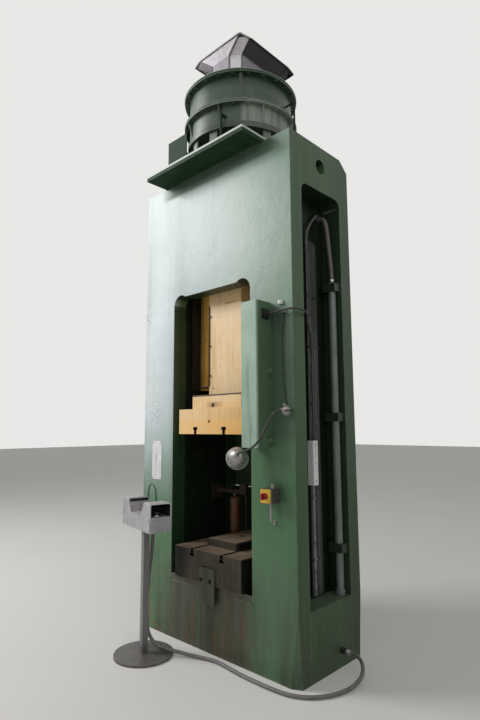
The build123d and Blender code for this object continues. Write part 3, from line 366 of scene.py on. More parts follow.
def web_paint():
    """The inner webs, deep in the recesses: the green painted very dark as painted shade, streaked down their
    height.
    """
    coat = Finish("web_paint", (20, 32, 20), 0.52, specular=0.25)
    coat.streaked(18, 0.5, 0.42, 0.68, (14, 22, 14), 0.75, 0.28)
    coat.streaked(40, 1.4, 0.56, 0.72, (38, 52, 36), 0.22)
    coat.chipped(44, 3, (84, 88, 74), 0.5, 0.6)
    coat.dusty(9, (92, 90, 76), 0.6, 0.8)
    coat.grained(24, 0.0005)
    return coat.done()


def dark_green_paint():
    """The deck's and shield's darker paint, streaked, with a pale painted highlight along the top of its lip.
    """
    coat = Finish("dark_green_paint", (34, 60, 38), 0.6, specular=0.12)
    coat.mottled(3, 0.4, 0.7, (26, 46, 30), 0.6)
    coat.streaked(14, 3, 0.5, 0.72, (62, 84, 64), 0.3)
    # painted highlight along the top of the lip
    lip_highlight = coat.zone(("z", 3.716, 3.721, 0.004), ("z", 3.76, 3.745))
    coat.lay(lip_highlight, (224, 230, 224), 0.92, 0.5)
    coat.rubbed(0.006, 14, 0.42, 0.58, (150, 158, 148), 0.6, 0.5)
    coat.dusty(9, (112, 112, 100), 0.7, 0.85)
    coat.grained(60, 0.0002)
    return coat.done()


def drum_paint():
    """The drum shells: green, painted light pale on the right of the seam, painted shade on the left and
    under the top flange, and darker low down.
    """
    coat = Finish("drum_paint", (60, 82, 62), 0.38)
    # painted light: pale on the right of the seam
    lit_right_side = coat.zone(("y", -0.325, -0.3, 0.01), ("x", 0.27, 0.3, 0.01), ("z", 4.17, 4.13))
    coat.lay(lit_right_side, (172, 180, 168), 0.8, 0.5)
    # painted shade: darker on the left of the drum
    coat.lay(coat.zone(("x", 0.3, 0.16, 0.03), ("x", -0.2, 0.02, 0.05)), (52, 66, 54), 0.7)
    coat.streaked(6, 1, 0.46, 0.68, (112, 128, 112), 0.34)
    coat.streaked(20, 2.2, 0.46, 0.68, (48, 62, 48), 0.45)
    coat.mottled(9, 0.5, 0.72, (100, 110, 96), 0.4)
    # painted shadow under the top flange
    coat.lay(coat.zone(("z", 4.285, 4.325, 0.006)), (38, 58, 42), 0.8)
    coat.lay(coat.zone(("z", 3.998, 3.984, 0.004)), (50, 62, 50), 0.75)
    coat.rubbed(0.006, 18, 0.4, 0.6, (160, 168, 156), 0.6, 0.5)
    coat.dusty(9, (108, 108, 98), 0.75, 0.85)
    coat.grained(45, 0.0003)
    return coat.done()


def cover_paint():
    """The cover box, in a fresher green than the frame, with its front face painted pale as painted light."""
    coat = Finish("cover_paint", (84, 112, 84), 0.38)
    # painted light: the front face paler than the sides
    coat.lay(coat.zone(("y", -0.49, -0.5)), (180, 206, 188), 0.8, 0.42)
    coat.mottled(2.2, 0.42, 0.7, (104, 136, 104), 0.5)
    coat.streaked(26, 1.4, 0.52, 0.72, (62, 90, 62), 0.45)
    coat.chipped(70, 5, (58, 62, 50), 0.8, 0.6)
    coat.rubbed(0.005, 16, 0.42, 0.6, (150, 168, 144), 0.5, 0.5)
    coat.grained(70, 0.0002)
    return coat.done()


# T-slots of the slide plate and the bolster, in metres: half widths and depths of their necks and heads
slot_aside, neck_half, head_half = 0.158, 0.015, 0.025
neck_depth, head_depth = 0.032, 0.0545
slide_plate_face, bolster_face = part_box("slide_plate")[0].z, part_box("bolster")[1].z


def paint_slot_shade(coat, face, side):
    """Painted shade inside the two T-slots that open in a level face; side is 1 where they go up from it."""
    coat.axis["aside"] = reckon(coat.tree, "ABSOLUTE", coat.axis["x"])
    neck, head = face + side * neck_depth, face + side * head_depth
    for half, *levels in ((neck_half, ("z", neck + side * 0.0006, neck)),
                          (head_half, ("z", neck - side * 0.0005, neck), ("z", head + side * 0.0008, head))):
        near, far = slot_aside - half, slot_aside + half
        walls = ("aside", near - 0.0002, near + 0.0004), ("aside", far + 0.0002, far - 0.0004)
        coat.lay(coat.zone(*walls, *levels), (16, 13, 10), 0.97, 0.7)


def slide_paint():
    """The slide's yellow paint: cream and scuffed on its body, amber and oily on its guide wings."""
    coat = Finish("slide_paint", (244, 206, 150), 0.38)
    coat.mottled(2.6, 0.4, 0.68, (250, 226, 190), 0.6)
    coat.streaked(70, 3.5, 0.54, 0.7, (196, 160, 112), 0.55)
    coat.streaked(26, 1.1, 0.56, 0.72, (206, 158, 78), 0.5)
    wing = coat.zone(("x", -0.18, -0.186), ("z", 1.86, 1.9))
    coat.lay(wing, (255, 204, 98), 0.94, 0.3)
    coat.streaked(40, 1.2, 0.48, 0.66, (170, 116, 48), 0.36, 0.25, within=wing)
    # painted shade: the wings' outer ends, deep in the window, nearly black
    outer = coat.zone(("x", -0.3, -0.4, 0.02), ("z", 1.86, 1.9))
    coat.lay(outer, (44, 30, 16), 0.85, 0.25)
    low = coat.zone(("z", 1.8, 1.6, 0.05), ("x", -0.2, 0.34, 0.1))
    coat.lay(low, (222, 156, 62), 0.78)
    coat.lay(coat.zone(("z", 1.68, 1.655, 0.004)), (252, 200, 116), 0.45)
    coat.lay(coat.zone(("z", 1.8435, 1.8465, 0.003), ("z", 1.858, 1.8572)), (34, 25, 16), 0.92)
    paint_slot_shade(coat, slide_plate_face, 1)
    coat.chipped(60, 5, (88, 66, 42), 0.85, 0.55)
    coat.chipped(34, 11, (70, 46, 24), 0.8, within=coat.zone(("z", 1.84, 1.9)))
    stained = coat.zone(("x", -0.09, -0.02, 0.02), ("x", 0.12, 0.03, 0.02), ("z", 1.75, 1.765, 0.01),
                        ("z", 1.81, 1.785, 0.01))
    coat.lay(stained, (120, 82, 42), 0.55)
    coat.rubbed(0.005, 22, 0.4, 0.6, (120, 92, 58), 0.55, 0.45)
    coat.grained(60, 0.0002)
    return coat.done()


def tool_steel():
    """Oiled, rust-flecked steel of the bolster and die seat, with streaks down its faces."""
    coat = Finish("tool_steel", (64, 61, 51), 0.5, metal=0.15, specular=0.3)
    coat.streaked(22, 1.6, 0.4, 0.66, (38, 38, 32), 0.8, 0.35)
    coat.streaked(46, 3, 0.54, 0.68, (104, 94, 72), 0.5)
    coat.mottled(7, 0.48, 0.68, (78, 68, 52), 0.5, 0.6)
    coat.mottled(26, 0.52, 0.64, (102, 78, 54), 0.3, 0.7)
    # painted shade on the bolster's left part, and on its right side face
    coat.lay(coat.zone(("x", -0.17, -0.27, 0.02), ("z", 0.715, 0.705)), (12, 13, 10), 0.9, 0.8)
    coat.lay(coat.zone(("x", 0.3515, 0.3525)), (16, 17, 12), 0.82)
    coat.dusty(11, (172, 148, 126), 0.7, 0.6)
    paint_slot_shade(coat, bolster_face, -1)
    coat.rubbed(0.005, 20, 0.36, 0.55, (150, 140, 120), 0.6, 0.35)
    coat.grained(40, 0.0006)
    return coat.done()


def oily_cover():
    """The ejector cover's plate: green once, now olive with old oil."""
    coat = Finish("oily_cover", (66, 70, 54), 0.42)
    coat.streaked(26, 2, 0.4, 0.66, (40, 40, 30), 0.75, 0.3)
    coat.mottled(30, 0.52, 0.66, (90, 84, 62), 0.5)
    coat.rubbed(0.004, 26, 0.4, 0.6, (120, 116, 98), 0.6, 0.4)
    coat.grained(60, 0.0003)
    return coat.done()


def hood_sheet():
    """Pale galvanised sheet with a lilac cast, spangled and stained along its folds, with a painted dark
    reflection on its right side and a painted highlight on its front right corner facet.
    """
    coat = Finish("hood_sheet", (168, 163, 171), 0.4, metal=0.15)
    coat.mottled(14, 0.4, 0.62, (154, 151, 159), 0.6)
    coat.streaked(16, 2.4, 0.52, 0.72, (138, 132, 132), 0.6)
    coat.mottled(3.2, 0.5, 0.7, (150, 138, 138), 0.5)
    coat.rubbed(0.006, 14, 0.4, 0.6, (104, 98, 94), 0.5, 0.6)
    # painted reflection: the right side dark brown
    dark_reflection_side = coat.zone(("x", 0.18, 0.186), ("y", -0.178, -0.172), ("z", 4.8066, 4.8062))
    coat.lay(dark_reflection_side, (46, 43, 40), 0.9, 0.5)
    above_kink = reckon(coat.tree, "SUBTRACT", coat.axis["z"], HOOD_KINK)
    flare = times(coat.tree, reckon(coat.tree, "MAXIMUM", above_kink, 0), fold_slope)
    coat.axis["past_fold"] = reckon(coat.tree, "SUBTRACT", coat.axis["x"], flare)
    # painted highlight on the front right corner facet, near white
    coat.lay(coat.zone(("past_fold", 0.102, 0.105), ("y", -0.166, -0.174)), (255, 252, 255), 0.96, 0.35)
    coat.grained(4, 0.004, 0.2, 0.8)
    return coat.done()


def plain_coat(name, base, rough, metal=0, wear=(150, 150, 146), dirt=(60, 56, 48), grain=60, rub=0.4,
               dirty=0.45, depth=0.00015):
    """A finish of one colour with mottle, streaks of dirt and rubbed edges."""
    coat = Finish(name, base, rough, metal=metal)
    lighter = tuple(min(255, part * 1.14 + 4) for part in base)
    coat.mottled(grain / 6, 0.42, 0.68, lighter, 0.6)
    coat.streaked(grain, grain / 14, 0.52, 0.72, dirt, dirty)
    coat.rubbed(0.003, grain / 2, 0.38, 0.6, wear, rub, rough * 0.9)
    coat.grained(grain * 3, depth)
    return coat.done()


def machined_steel(name, base, rough, lines="z"):
    """Bright steel with fine tool lines that run round it."""
    coat = Finish(name, base, rough, metal=0.95)
    across, along = {"z": (2, 260), "x": (260, 3)}[lines]
    turned_lines = coat.group(RUNS, Across=across, Along=along, Low=0.35, High=0.7)
    coat.lay(turned_lines, tuple(part * 0.78 for part in base), 0.6, rough * 1.4)
    coat.mottled(22, 0.55, 0.72, (96, 82, 60), 0.35, 0.5)
    coat.relief(turned_lines, 0.00004)
    return coat.done()


def spun_metal():
    """The lamp's spun reflector: satin, with rings from its spinning and smoked patches."""
    coat = Finish("spun_metal", (176, 174, 170), 0.36, metal=0.75)
    coat.mottled(18, 0.45, 0.62, (104, 100, 96), 0.6, 0.45)
    coat.mottled(60, 0.55, 0.66, (62, 60, 56), 0.6, 0.5)
    coat.relief(coat.group(RUNS, Across=40, Along=120, Low=0.3, High=0.7), 0.00005)
    return coat.done()


def cord_skin(name, base, rough, pitch=0, depth=0, specks=(70, 68, 64)):
    """A cord's outer skin; its ribs follow the cord where it has them."""
    coat = Finish(name, base, rough)
    coat.mottled(26, 0.46, 0.66, specks, 0.55, min(1, rough * 1.4))
    coat.dusty(30, (128, 124, 114), 0.35, 0.8)
    if pitch:
        uv = shade(coat.tree, "ShaderNodeTexCoord").outputs["UV"]
        along = axis_parts(coat.tree, uv)[0]
        coat.relief(reckon(coat.tree, "SINE", times(coat.tree, along, 2 * math.pi / pitch)), depth)
    return coat.done()


def wire_skins():
    """The bundle's wires: dark ones, a pale one beside the first and a grey one further back."""
    coat = Finish("wire_skins", (52, 56, 54), 0.36)
    coat.lay(coat.zone(("y", 0.0135, 0.0145), ("y", 0.0385, 0.0375)), (148, 152, 148), 0.9, 0.4)
    coat.lay(coat.zone(("y", 0.065, 0.066), ("y", 0.091, 0.09)), (86, 90, 88), 0.9, 0.4)
    coat.mottled(16, 0.46, 0.66, (36, 38, 34), 0.6, 0.5)
    coat.lay(coat.zone(("y", 0.012, 0.014), ("z", 2.15, 2.45, 0.05)), (20, 24, 19), 0.85, 0.6)
    coat.streaked(40, 8, 0.56, 0.7, (84, 86, 78), 0.25)
    return coat.done()


def frosted_bulb():
    coat = Finish("frosted_bulb", (236, 232, 220), 0.45)
    coat.shader.inputs["Transmission Weight"].default_value = 0.55
    coat.mottled(40, 0.5, 0.7, (206, 200, 184), 0.4)
    return coat.done()


def console_casting():
    """The control stand's cast housing: warm grey enamel with rubbed edges and greasy hand marks."""
    coat = Finish("console_casting", (178, 175, 180), 0.4)
    coat.mottled(9, 0.44, 0.66, (150, 148, 152), 0.6, 0.5)
    coat.mottled(38, 0.56, 0.68, (112, 104, 98), 0.6, 0.6)
    coat.streaked(60, 14, 0.56, 0.72, (120, 112, 104), 0.5)
    coat.rubbed(0.004, 40, 0.4, 0.6, (92, 86, 82), 0.5, 0.5)
    coat.grained(150, 0.00015)
    return coat.done()


def foot_paint():
    """The stand's foot and post: grey paint, scuffed bright by boots, with a painted highlight that makes the
    post lighter and bluish above the foot.
    """
    coat = Finish("foot_paint", (90, 87, 86), 0.42)
    coat.mottled(12, 0.44, 0.66, (112, 108, 105), 0.65, 0.5)
    coat.mottled(34, 0.55, 0.68, (70, 62, 54), 0.65, 0.6)
    # painted highlight: the post lighter and bluish above the foot
    coat.lay(coat.zone(("z", 0.05, 0.08)), (134, 134, 138), 0.6, 0.36)
    coat.rubbed(0.004, 30, 0.35, 0.55, (168, 168, 166), 0.7, 0.3)
    coat.grained(80, 0.0002)
    return coat.done()


FINISHES = dict(
    frame=frame_paint(), web=web_paint(), oily=oily_cover(), deck=dark_green_paint(), drum=drum_paint(),
    cover=cover_paint(), slide=slide_paint(), tool=tool_steel(), hood=hood_sheet(), console=console_casting(),
    foot=foot_paint(), spun=spun_metal(), bulb=frosted_bulb(), wires=wire_skins(),
    screw=machined_steel("screw_steel", (176, 172, 164), 0.28),
    bright=machined_steel("bright_steel", (184, 184, 182), 0.3, lines="x"),
    bronze=machined_steel("nut_bronze", (176, 126, 66), 0.34),
    iron=plain_coat("cast_iron", (76, 78, 76), 0.6, metal=0.2, grain=26, depth=0.0008),
    gib=plain_coat("oiled_gib", (30, 30, 28), 0.28, metal=0.5, wear=(110, 106, 96), grain=40),
    zinc=plain_coat("zinc_fastener", (146, 146, 140), 0.38, metal=0.75, dirt=(84, 76, 60), grain=90),
    black_cable=cord_skin("black_cable", (44, 44, 44), 0.38),
    grey_cable=cord_skin("grey_cable", (96, 98, 96), 0.4),
    lamp_skin=cord_skin("lamp_cable_skin", (56, 60, 56), 0.34),
    hose=cord_skin("hose_skin", (112, 110, 108), 0.32, pitch=0.006, depth=0.0004),
    pink_hose=cord_skin("recess_hose_skin", (96, 92, 90), 0.4),
    pipe=plain_coat("pipe_paint", (114, 120, 116), 0.26, dirt=(66, 68, 66), grain=36, dirty=0.6),
    clamp=plain_coat("clamp_paint", (34, 46, 34), 0.44, wear=(96, 104, 92)),
    duct=plain_coat("duct_plastic", (246, 246, 246), 0.42, dirt=(140, 136, 126), rub=0.2),
    plate=plain_coat("plate_enamel", (226, 226, 230), 0.35, dirt=(168, 166, 162), grain=70, rub=0.3),
    flap=plain_coat("flap_rubber", (16, 17, 14), 0.75, wear=(40, 38, 34), dirt=(22, 20, 16), grain=30),
    guard=plain_coat("guard_paint", (50, 68, 46), 0.5, dirt=(30, 36, 26), grain=22, dirty=0.7),
    brown=plain_coat("brown_paint", (104, 68, 40), 0.5, dirt=(60, 40, 24), grain=40, dirty=0.7),
    dark_iron=plain_coat("black_bracket", (52, 38, 30), 0.55, dirt=(30, 22, 18), grain=50, dirty=0.6),
    lamp_cast=plain_coat("lamp_casting", (150, 150, 146), 0.34, metal=0.5, dirt=(70, 68, 62), grain=80),
    neck=plain_coat("neck_metal", (60, 60, 56), 0.3, metal=0.5, dirt=(40, 38, 34), grain=120),
    switch_body=plain_coat("switch_housing", (70, 68, 64), 0.42, wear=(120, 116, 108), grain=90),
    yellow=plain_coat("switch_yellow", (216, 176, 52), 0.36, dirt=(120, 96, 40), grain=120),
    red=plain_coat("knob_red", (140, 26, 36), 0.32, dirt=(84, 24, 20), grain=150, rub=0.2),
    black_plastic=plain_coat("black_plastic", (34, 34, 34), 0.4, wear=(84, 82, 80), grain=120),
    white_button=plain_coat("button_white", (216, 214, 208), 0.35, dirt=(150, 146, 138), grain=120),
    shade_black=plain_coat("painted_shade_black", (14, 14, 15), 0.85, wear=(30, 30, 30), dirt=(24, 22, 20)),
    seam_and_shade=plain_coat("dark_seam_and_shade", (40, 36, 36), 0.5, wear=(90, 84, 80)),
    rim=plain_coat("rubbed_rim", (128, 138, 128), 0.42, dirt=(70, 84, 70), grain=30, dirty=0.6),
    copper=plain_coat("oil_pipe_copper", (48, 32, 20), 0.34, metal=0.6, dirt=(48, 32, 18), grain=80,
                      dirty=0.7),
)

NODES_OF_FINISH = dict(
    frame="frame_front frame_back frame_head frame_base", web="frame_webs", hood="motor_hood",
    deck="top_deck drum_cover drum_pipe", drum="drum_lower_shell drum_upper_shell drum_bolts",
    iron="stator_ring flywheel brake_caliper ejector_cylinder", screw="screw_spindle",
    bronze="screw_nut screw_bearings", bright="brake_disc ejector_rod", slide="slide slide_plate",
    zinc="slide_bolts bolster_bolts", gib="guide_rails", copper="slide_oil_line", tool="bolster die_seat",
    oily="ejector_cover", cover="scale_cover", neck="lamp_neck", spun="lamp_head", bulb="lamp_bulb",
    lamp_cast="lamp_base switch_conduit", switch_body="switch_box", yellow="switch_plate", red="switch_knob",
    plate="name_plate", pipe="riser_pipe", clamp="pipe_clamps", wires="cable_bundle", duct="duct_cover",
    guard="rear_guard", flap="rear_flap", dark_iron="rear_bracket", brown="rear_cylinder",
    foot="console_stand", console="console_body", white_button="start_button",
    black_plastic="cable_socket palm_button_left palm_button_right hose_fittings")


def dress_nodes():
    """Puts each finish into the material slots of its CAD nodes, and leaves their meshes alone."""
    for finish, nodes in NODES_OF_FINISH.items():
        for node in nodes.split():
            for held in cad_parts[node].material_slots:
                held.material = FINISHES[finish]


dress_nodes()

# Surfaces worked out on grids


def sheet_faces(rows, columns, wrap_rows):
    """Four-sided faces between neighbouring grid points; the last column joins the first, and a wrapped last
    row does too."""
    index = np.arange(rows * columns).reshape(rows, columns)
    if wrap_rows:
        index = np.vstack([index, index[:1]])
    index = np.hstack([index, index[:, :1]])
    return np.stack([index[:-1, :-1], index[:-1, 1:], index[1:, 1:], index[1:, :-1]], axis=-1).reshape(-1, 4)


def piece(name, grids, finish, body="press_body", wrap_rows=False, stands_for=(), smooth=True):
    """A closed mesh of one or more like grids, each closed around its columns and capped at its two ends.

    The faces are turned outwards: the signed volume about the middle, the sum of the corners' triple
    products, comes out positive.
    """
    grids = np.asarray(grids, dtype=float)
    grids = grids[None] if grids.ndim == 3 else grids
    count, rows, columns = grids.shape[:3]
    quads = sheet_faces(rows, columns, wrap_rows)
    centred = (grids[0] - grids[0].mean(axis=(0, 1))).reshape(-1, 3)
    a, b, c, d = (centred[quads[:, corner]] for corner in range(4))
    volume = np.einsum("ij,ij->", a, np.cross(b, c)) + np.einsum("ij,ij->", a, np.cross(c, d))
    ends = [np.arange(columns), np.arange((rows - 1) * columns, rows * columns)[::-1]]
    if volume < 0:
        quads = quads[:, ::-1]
    else:
        ends = [end[::-1] for end in ends]
    starts = np.arange(count) * rows * columns
    faces = (quads[None] + starts[:, None, None]).reshape(-1, 4).tolist()
    if not wrap_rows:
        faces += [(end + start).tolist() for start in starts for end in ends]
    mesh = bpy.data.meshes.new(name)
    mesh.from_pydata(grids.reshape(-1, 3).tolist(), [], faces)
    mesh.materials.append(FINISHES[finish])
    if smooth:
        mesh.shade_smooth()
        mesh.set_sharp_from_angle(angle=math.radians(35))
    made = place_in_scene(name, mesh)
    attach(made, body)
    if stands_for:
        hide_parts(*stands_for)


def placed(grid, place):
    """The grid's points carried into a place: turned by its rotation, then moved."""
    matrix = np.array(place)
    return grid @ matrix[:3, :3].T + matrix[:3, 3]


def turned(profile, place=Matrix(), sides=48):
    """Each radius and height of the profile goes round the axis: x = r cos a, y = r sin a, z = height."""
    radius, height = np.asarray(profile, dtype=float).T
    angle = np.linspace(0, 2 * np.pi, sides, endpoint=False)
    grid = np.stack([radius[:, None] * np.cos(angle), radius[:, None] * np.sin(angle),
                     np.repeat(height[:, None], sides, axis=1)], axis=-1)
    return placed(grid, place)


def carried(path, section, up=(0, 0, 1), closed=False):
    """The section carried along a path: each point is path + a * side + b * upper, where side is the path's
    direction crossed with up, and upper is side crossed with the direction."""
    path = np.asarray(path, dtype=float)
    if closed:
        ahead = np.roll(path, -1, axis=0) - np.roll(path, 1, axis=0)
    else:
        ahead = np.gradient(path, axis=0)
    ahead /= np.linalg.norm(ahead, axis=1, keepdims=True)
    side = np.cross(ahead, up)
    side /= np.linalg.norm(side, axis=1, keepdims=True)
    upper = np.cross(side, ahead)
    return path[:, None] + section[None, :, 0:1] * side[:, None] + section[None, :, 1:2] * upper[:, None]


def circle(radius, sides=10):
    angle = np.linspace(0, 2 * np.pi, sides, endpoint=False)
    return np.stack([radius * np.cos(angle), radius * np.sin(angle)], axis=1)


def bar(width, depth):
    """A flat bar's section, centred."""
    return np.array([(-width, -depth), (width, -depth), (width, depth), (-width, depth)]) / 2


def eased(route, step):
    """A smooth path past the route's corners: arcs of second degree between the middles of its sides, then
    points at an even step along it."""
    corners = np.asarray(route, dtype=float)
    middles = (corners[:-1] + corners[1:]) / 2
    middles[0], middles[-1] = corners[0], corners[-1]
    part = np.linspace(0, 1, 24, endpoint=False)[None, :, None]
    arcs = ((1 - part) ** 2 * middles[:-1, None] + 2 * part * (1 - part) * corners[1:-1, None]
            + part ** 2 * middles[1:, None])
    fine = np.vstack([arcs.reshape(-1, 3), corners[-1:]])
    run = np.concatenate([[0], np.cumsum(np.linalg.norm(np.diff(fine, axis=0), axis=1))])
    even = np.linspace(0, run[-1], max(3, int(run[-1] / step) + 1))
    return np.stack([np.interp(even, run, fine[:, axis]) for axis in range(3)], axis=1)


def bead(start, end, radius, pitch=0.009, up=(0, 0, 1)):
    """A weld bead: a round section along a line whose size swells and sinks with every ripple,
    radius * (1 + 0.14 |sin|), and wanders a little."""
    start, end = np.asarray(start, dtype=float), np.asarray(end, dtype=float)
    length = np.linalg.norm(end - start)
    along = np.linspace(0, length, int(length / pitch * 4) + 1)
    path = start + (end - start) * (along / length)[:, None]
    grid = carried(path, circle(radius, 8), up)
    swell = 1 + 0.14 * np.abs(np.sin(np.pi * along / pitch)) + 0.06 * np.sin(along * 31) * np.sin(along * 7.3)
    return path[:, None] + (grid - path[:, None]) * swell[:, None, None]


def box_grid(low, high):
    """A box as a square ring carried up: four corners at the bottom and the same four at the top."""
    (x0, y0, z0), (x1, y1, z1) = low, high
    ring = np.array([(x0, y0), (x1, y0), (x1, y1), (x0, y1)])
    return np.stack([np.column_stack([ring, np.full(4, z)]) for z in (z0, z1)])


def facing(x, y, z, direction):
    """A place whose own Z axis looks along the direction."""
    return Matrix.Translation((x, y, z)) @ Vector(direction).to_track_quat("Z", "Y").to_matrix().to_4x4()


def screw_head(radius, height, place):
    """A screw head with a rounded top and a driving recess: a profile that goes round its axis."""
    return turned([(radius, 0), (radius, height * 0.7), (radius * 0.88, height), (radius * 0.45, height),
                   (radius * 0.42, height * 0.55), (radius * 0.02, height * 0.55)], place, 24)


def screws(name, places, direction, radius, height):
    """Like screw heads that look the same way, one at each place."""
    head = screw_head(radius, height, facing(0, 0, 0, direction))
    piece(name, head[None] + np.asarray(places, dtype=float)[:, None, None, :], "zinc")


# Cords: their routes, in metres
SIGNAL_ROUTE = [
    (0.652, -0.4195, 2.374), (0.692, -0.4195, 2.374), (0.742, -0.410, 2.381), (0.794, -0.401, 2.385),
    (0.846, -0.386, 2.386), (0.866, -0.334, 2.384), (0.858, -0.274, 2.378), (0.826, -0.216, 2.366),
    (0.778, -0.160, 2.352), (0.738, -0.100, 2.334), (0.716, -0.040, 2.300), (0.6976, 0.002, 2.240),
    (0.6936, 0.016, 2.160), (0.6926, 0.013, 2.040), (0.6936, 0.010, 1.900), (0.6926, 0.014, 1.760),
    (0.6936, 0.012, 1.630), (0.6926, 0.013, 1.477)]
LAMP_ROUTE = [
    (0.742, -0.3793, 2.366), (0.742, -0.3793, 2.322), (0.731, -0.3763, 2.256), (0.726, -0.3723, 2.180),
    (0.729, -0.3703, 2.090), (0.727, -0.3703, 1.990), (0.731, -0.3713, 1.900), (0.740, -0.3753, 1.836),
    (0.746, -0.3783, 1.796), (0.746, -0.3783, 1.754)]
RECESS_ROUTE = [
    (0.660, 0.150, 3.206), (0.708, 0.150, 3.206), (0.738, 0.154, 3.180), (0.748, 0.162, 3.130),
    (0.750, 0.174, 3.050), (0.751, 0.187, 2.940), (0.754, 0.198, 2.840), (0.757, 0.204, 2.760),
    (0.757, 0.204, 2.690)]
CONSOLE_ROUTE = [
    (-0.3023, -0.6469, 0.856), (-0.3023, -0.6469, 0.772), (-0.316, -0.649, 0.660), (-0.336, -0.651, 0.540),
    (-0.354, -0.650, 0.420), (-0.363, -0.646, 0.310), (-0.365, -0.641, 0.215), (-0.362, -0.639, 0.145),
    (-0.328, -0.628, 0.080), (-0.264, -0.608, 0.043), (-0.192, -0.588, 0.037), (-0.116, -0.562, 0.037),
    (-0.044, -0.518, 0.022), (0.044, -0.474, 0.0135), (0.140, -0.444, 0.0135), (0.240, -0.446, 0.0135),
    (0.345, -0.460, 0.0135), (0.460, -0.469, 0.0135), (0.580, -0.470, 0.0135), (0.700, -0.468, 0.0135),
    (0.812, -0.452, 0.0135), (0.905, -0.400, 0.0135), (0.975, -0.316, 0.0135), (1.018, -0.216, 0.0135),
    (1.042, -0.116, 0.020), (1.048, -0.016, 0.052), (1.008, 0.058, 0.090), (0.941, 0.100, 0.110),
    (0.859, 0.100, 0.110)]
LOOP_ROUTE = [
    (-0.160, 0.0825, 0.940), (-0.160, 0.1185, 0.940), (-0.158, 0.1445, 0.974), (-0.154, 0.1485, 1.035),
    (-0.160, 0.1465, 1.112), (-0.196, 0.1425, 1.162), (-0.248, 0.1405, 1.166), (-0.284, 0.1405, 1.120),
    (-0.291, 0.1425, 1.052), (-0.286, 0.1465, 0.985), (-0.274, 0.1405, 0.952), (-0.262, 0.1165, 0.940),
    (-0.262, 0.0825, 0.940)]
STAND_PLACE = Matrix.Translation((-0.315, -0.702, 0)) @ Matrix.Rotation(math.radians(-13), 4, "Z")


def cord_piece(name, node, route, diameter, finish):
    """A free cord: a smooth open spline that takes the route's points as its control points."""
    curve = bpy.data.curves.new(name, "CURVE")
    curve.dimensions = "3D"
    curve.resolution_u = 12
    line = curve.splines.new("NURBS")
    line.points.add(len(route) - 1)
    for point, place in zip(line.points, route):
        point.co = (*place, 1)
    line.order_u = 3
    line.use_endpoint_u = True
    curve.bevel_depth = diameter / 2
    curve.bevel_resolution = 5
    curve.use_fill_caps = True
    curve.materials.append(FINISHES[finish])
    made = place_in_scene(name, curve)
    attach(made, "press_body")
    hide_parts(node)


cord_piece("signal_lead", "signal_cable", SIGNAL_ROUTE, 0.014, "black_cable")
cord_piece("lamp_lead", "lamp_cable", LAMP_ROUTE, 0.009, "lamp_skin")
cord_piece("recess_tube", "recess_hose", RECESS_ROUTE, 0.036, "pink_hose")
cord_piece("stand_hose", "console_hose", CONSOLE_ROUTE, 0.025, "hose")
cord_piece("stand_lead", "console_loop", [tuple(STAND_PLACE @ Vector(place)) for place in LOOP_ROUTE],
           0.010, "black_cable")

# Work lamp: its reflector, neck, collars and rounded foot
LAMP_PLACE = (Matrix.Translation((0.425, -0.497, 1.395)) @ Matrix.Rotation(math.radians(-45), 4, "Z")
              @ Matrix.Rotation(math.radians(76), 4, "Y"))
NECK_ROUTE = [(0.754, -0.4125, 1.714), (0.754, -0.458, 1.714), (0.738, -0.502, 1.676), (0.722, -0.534, 1.614),
              (0.706, -0.560, 1.553), (0.687, -0.584, 1.505), (0.662, -0.606, 1.474), (0.618, -0.628, 1.454),
              (0.5567, -0.6287, 1.4414), (0.5156, -0.5876, 1.4269)]
bell_length, neck_step, neck_pitch = 0.112, 0.0011, 0.0045
DOME_MIDDLE, DOME_REACH = np.array((0.764, FRONT, 1.710)), np.array((0.030, 0.057, 0.0385))


def reflector():
    """A bell: its radius falls from mouth to neck as 20 + 55 (1 - t^1.9)^0.8 mm, t from 0 to 1, with a rolled
    rim, and the inside follows it 3 mm in."""
    share = np.linspace(0, 1, 26)
    bell = 0.020 + 0.055 * (1 - share ** 1.9) ** 0.8
    outer = np.stack([bell, bell_length * share], axis=1)[1:]
    inner = np.stack([bell - 0.003, bell_length * share], axis=1)[:20][::-1]
    turn = np.linspace(-0.5 * np.pi, 1.1 * np.pi, 12)[:9]
    rim = np.stack([0.0745 + 0.0032 * np.cos(turn), 0.0012 + 0.0032 * np.sin(turn)], axis=1)
    collar_steps = [(0.0205, 0.114), (0.0205, 0.119), (0.0150, 0.121), (0.0128, 0.132), (0.0005, 0.132)]
    floor = [(0.0005, 0.0925), (0.030, 0.0925)]
    return turned(np.vstack([floor, inner, rim, outer, collar_steps]), LAMP_PLACE, 72)


def ribbed_neck():
    """A round tube along the lamp's neck whose radius rises and falls with each turn of its winding."""
    path = eased(NECK_ROUTE, neck_step)
    run = np.arange(len(path)) * neck_step
    grid = carried(path, circle(1.0, 16), up=(0.3, 0.1, 0.9))
    radius = 0.0074 + 0.0006 * np.cos(2 * np.pi * run / neck_pitch)
    return path[:, None] + (grid - path[:, None]) * radius[:, None, None]


def dome(tilt, angle):
    """Points of half an ellipsoid that stands out from the frame: middle + reach * (sin t cos a, -cos t,
    sin t sin a), t the tilt from its tip and a the angle round it."""
    tilt, angle = np.broadcast_arrays(tilt, angle)
    way = np.stack([np.sin(tilt) * np.cos(angle), -np.cos(tilt), np.sin(tilt) * np.sin(angle)], axis=-1)
    return DOME_MIDDLE + way * DOME_REACH


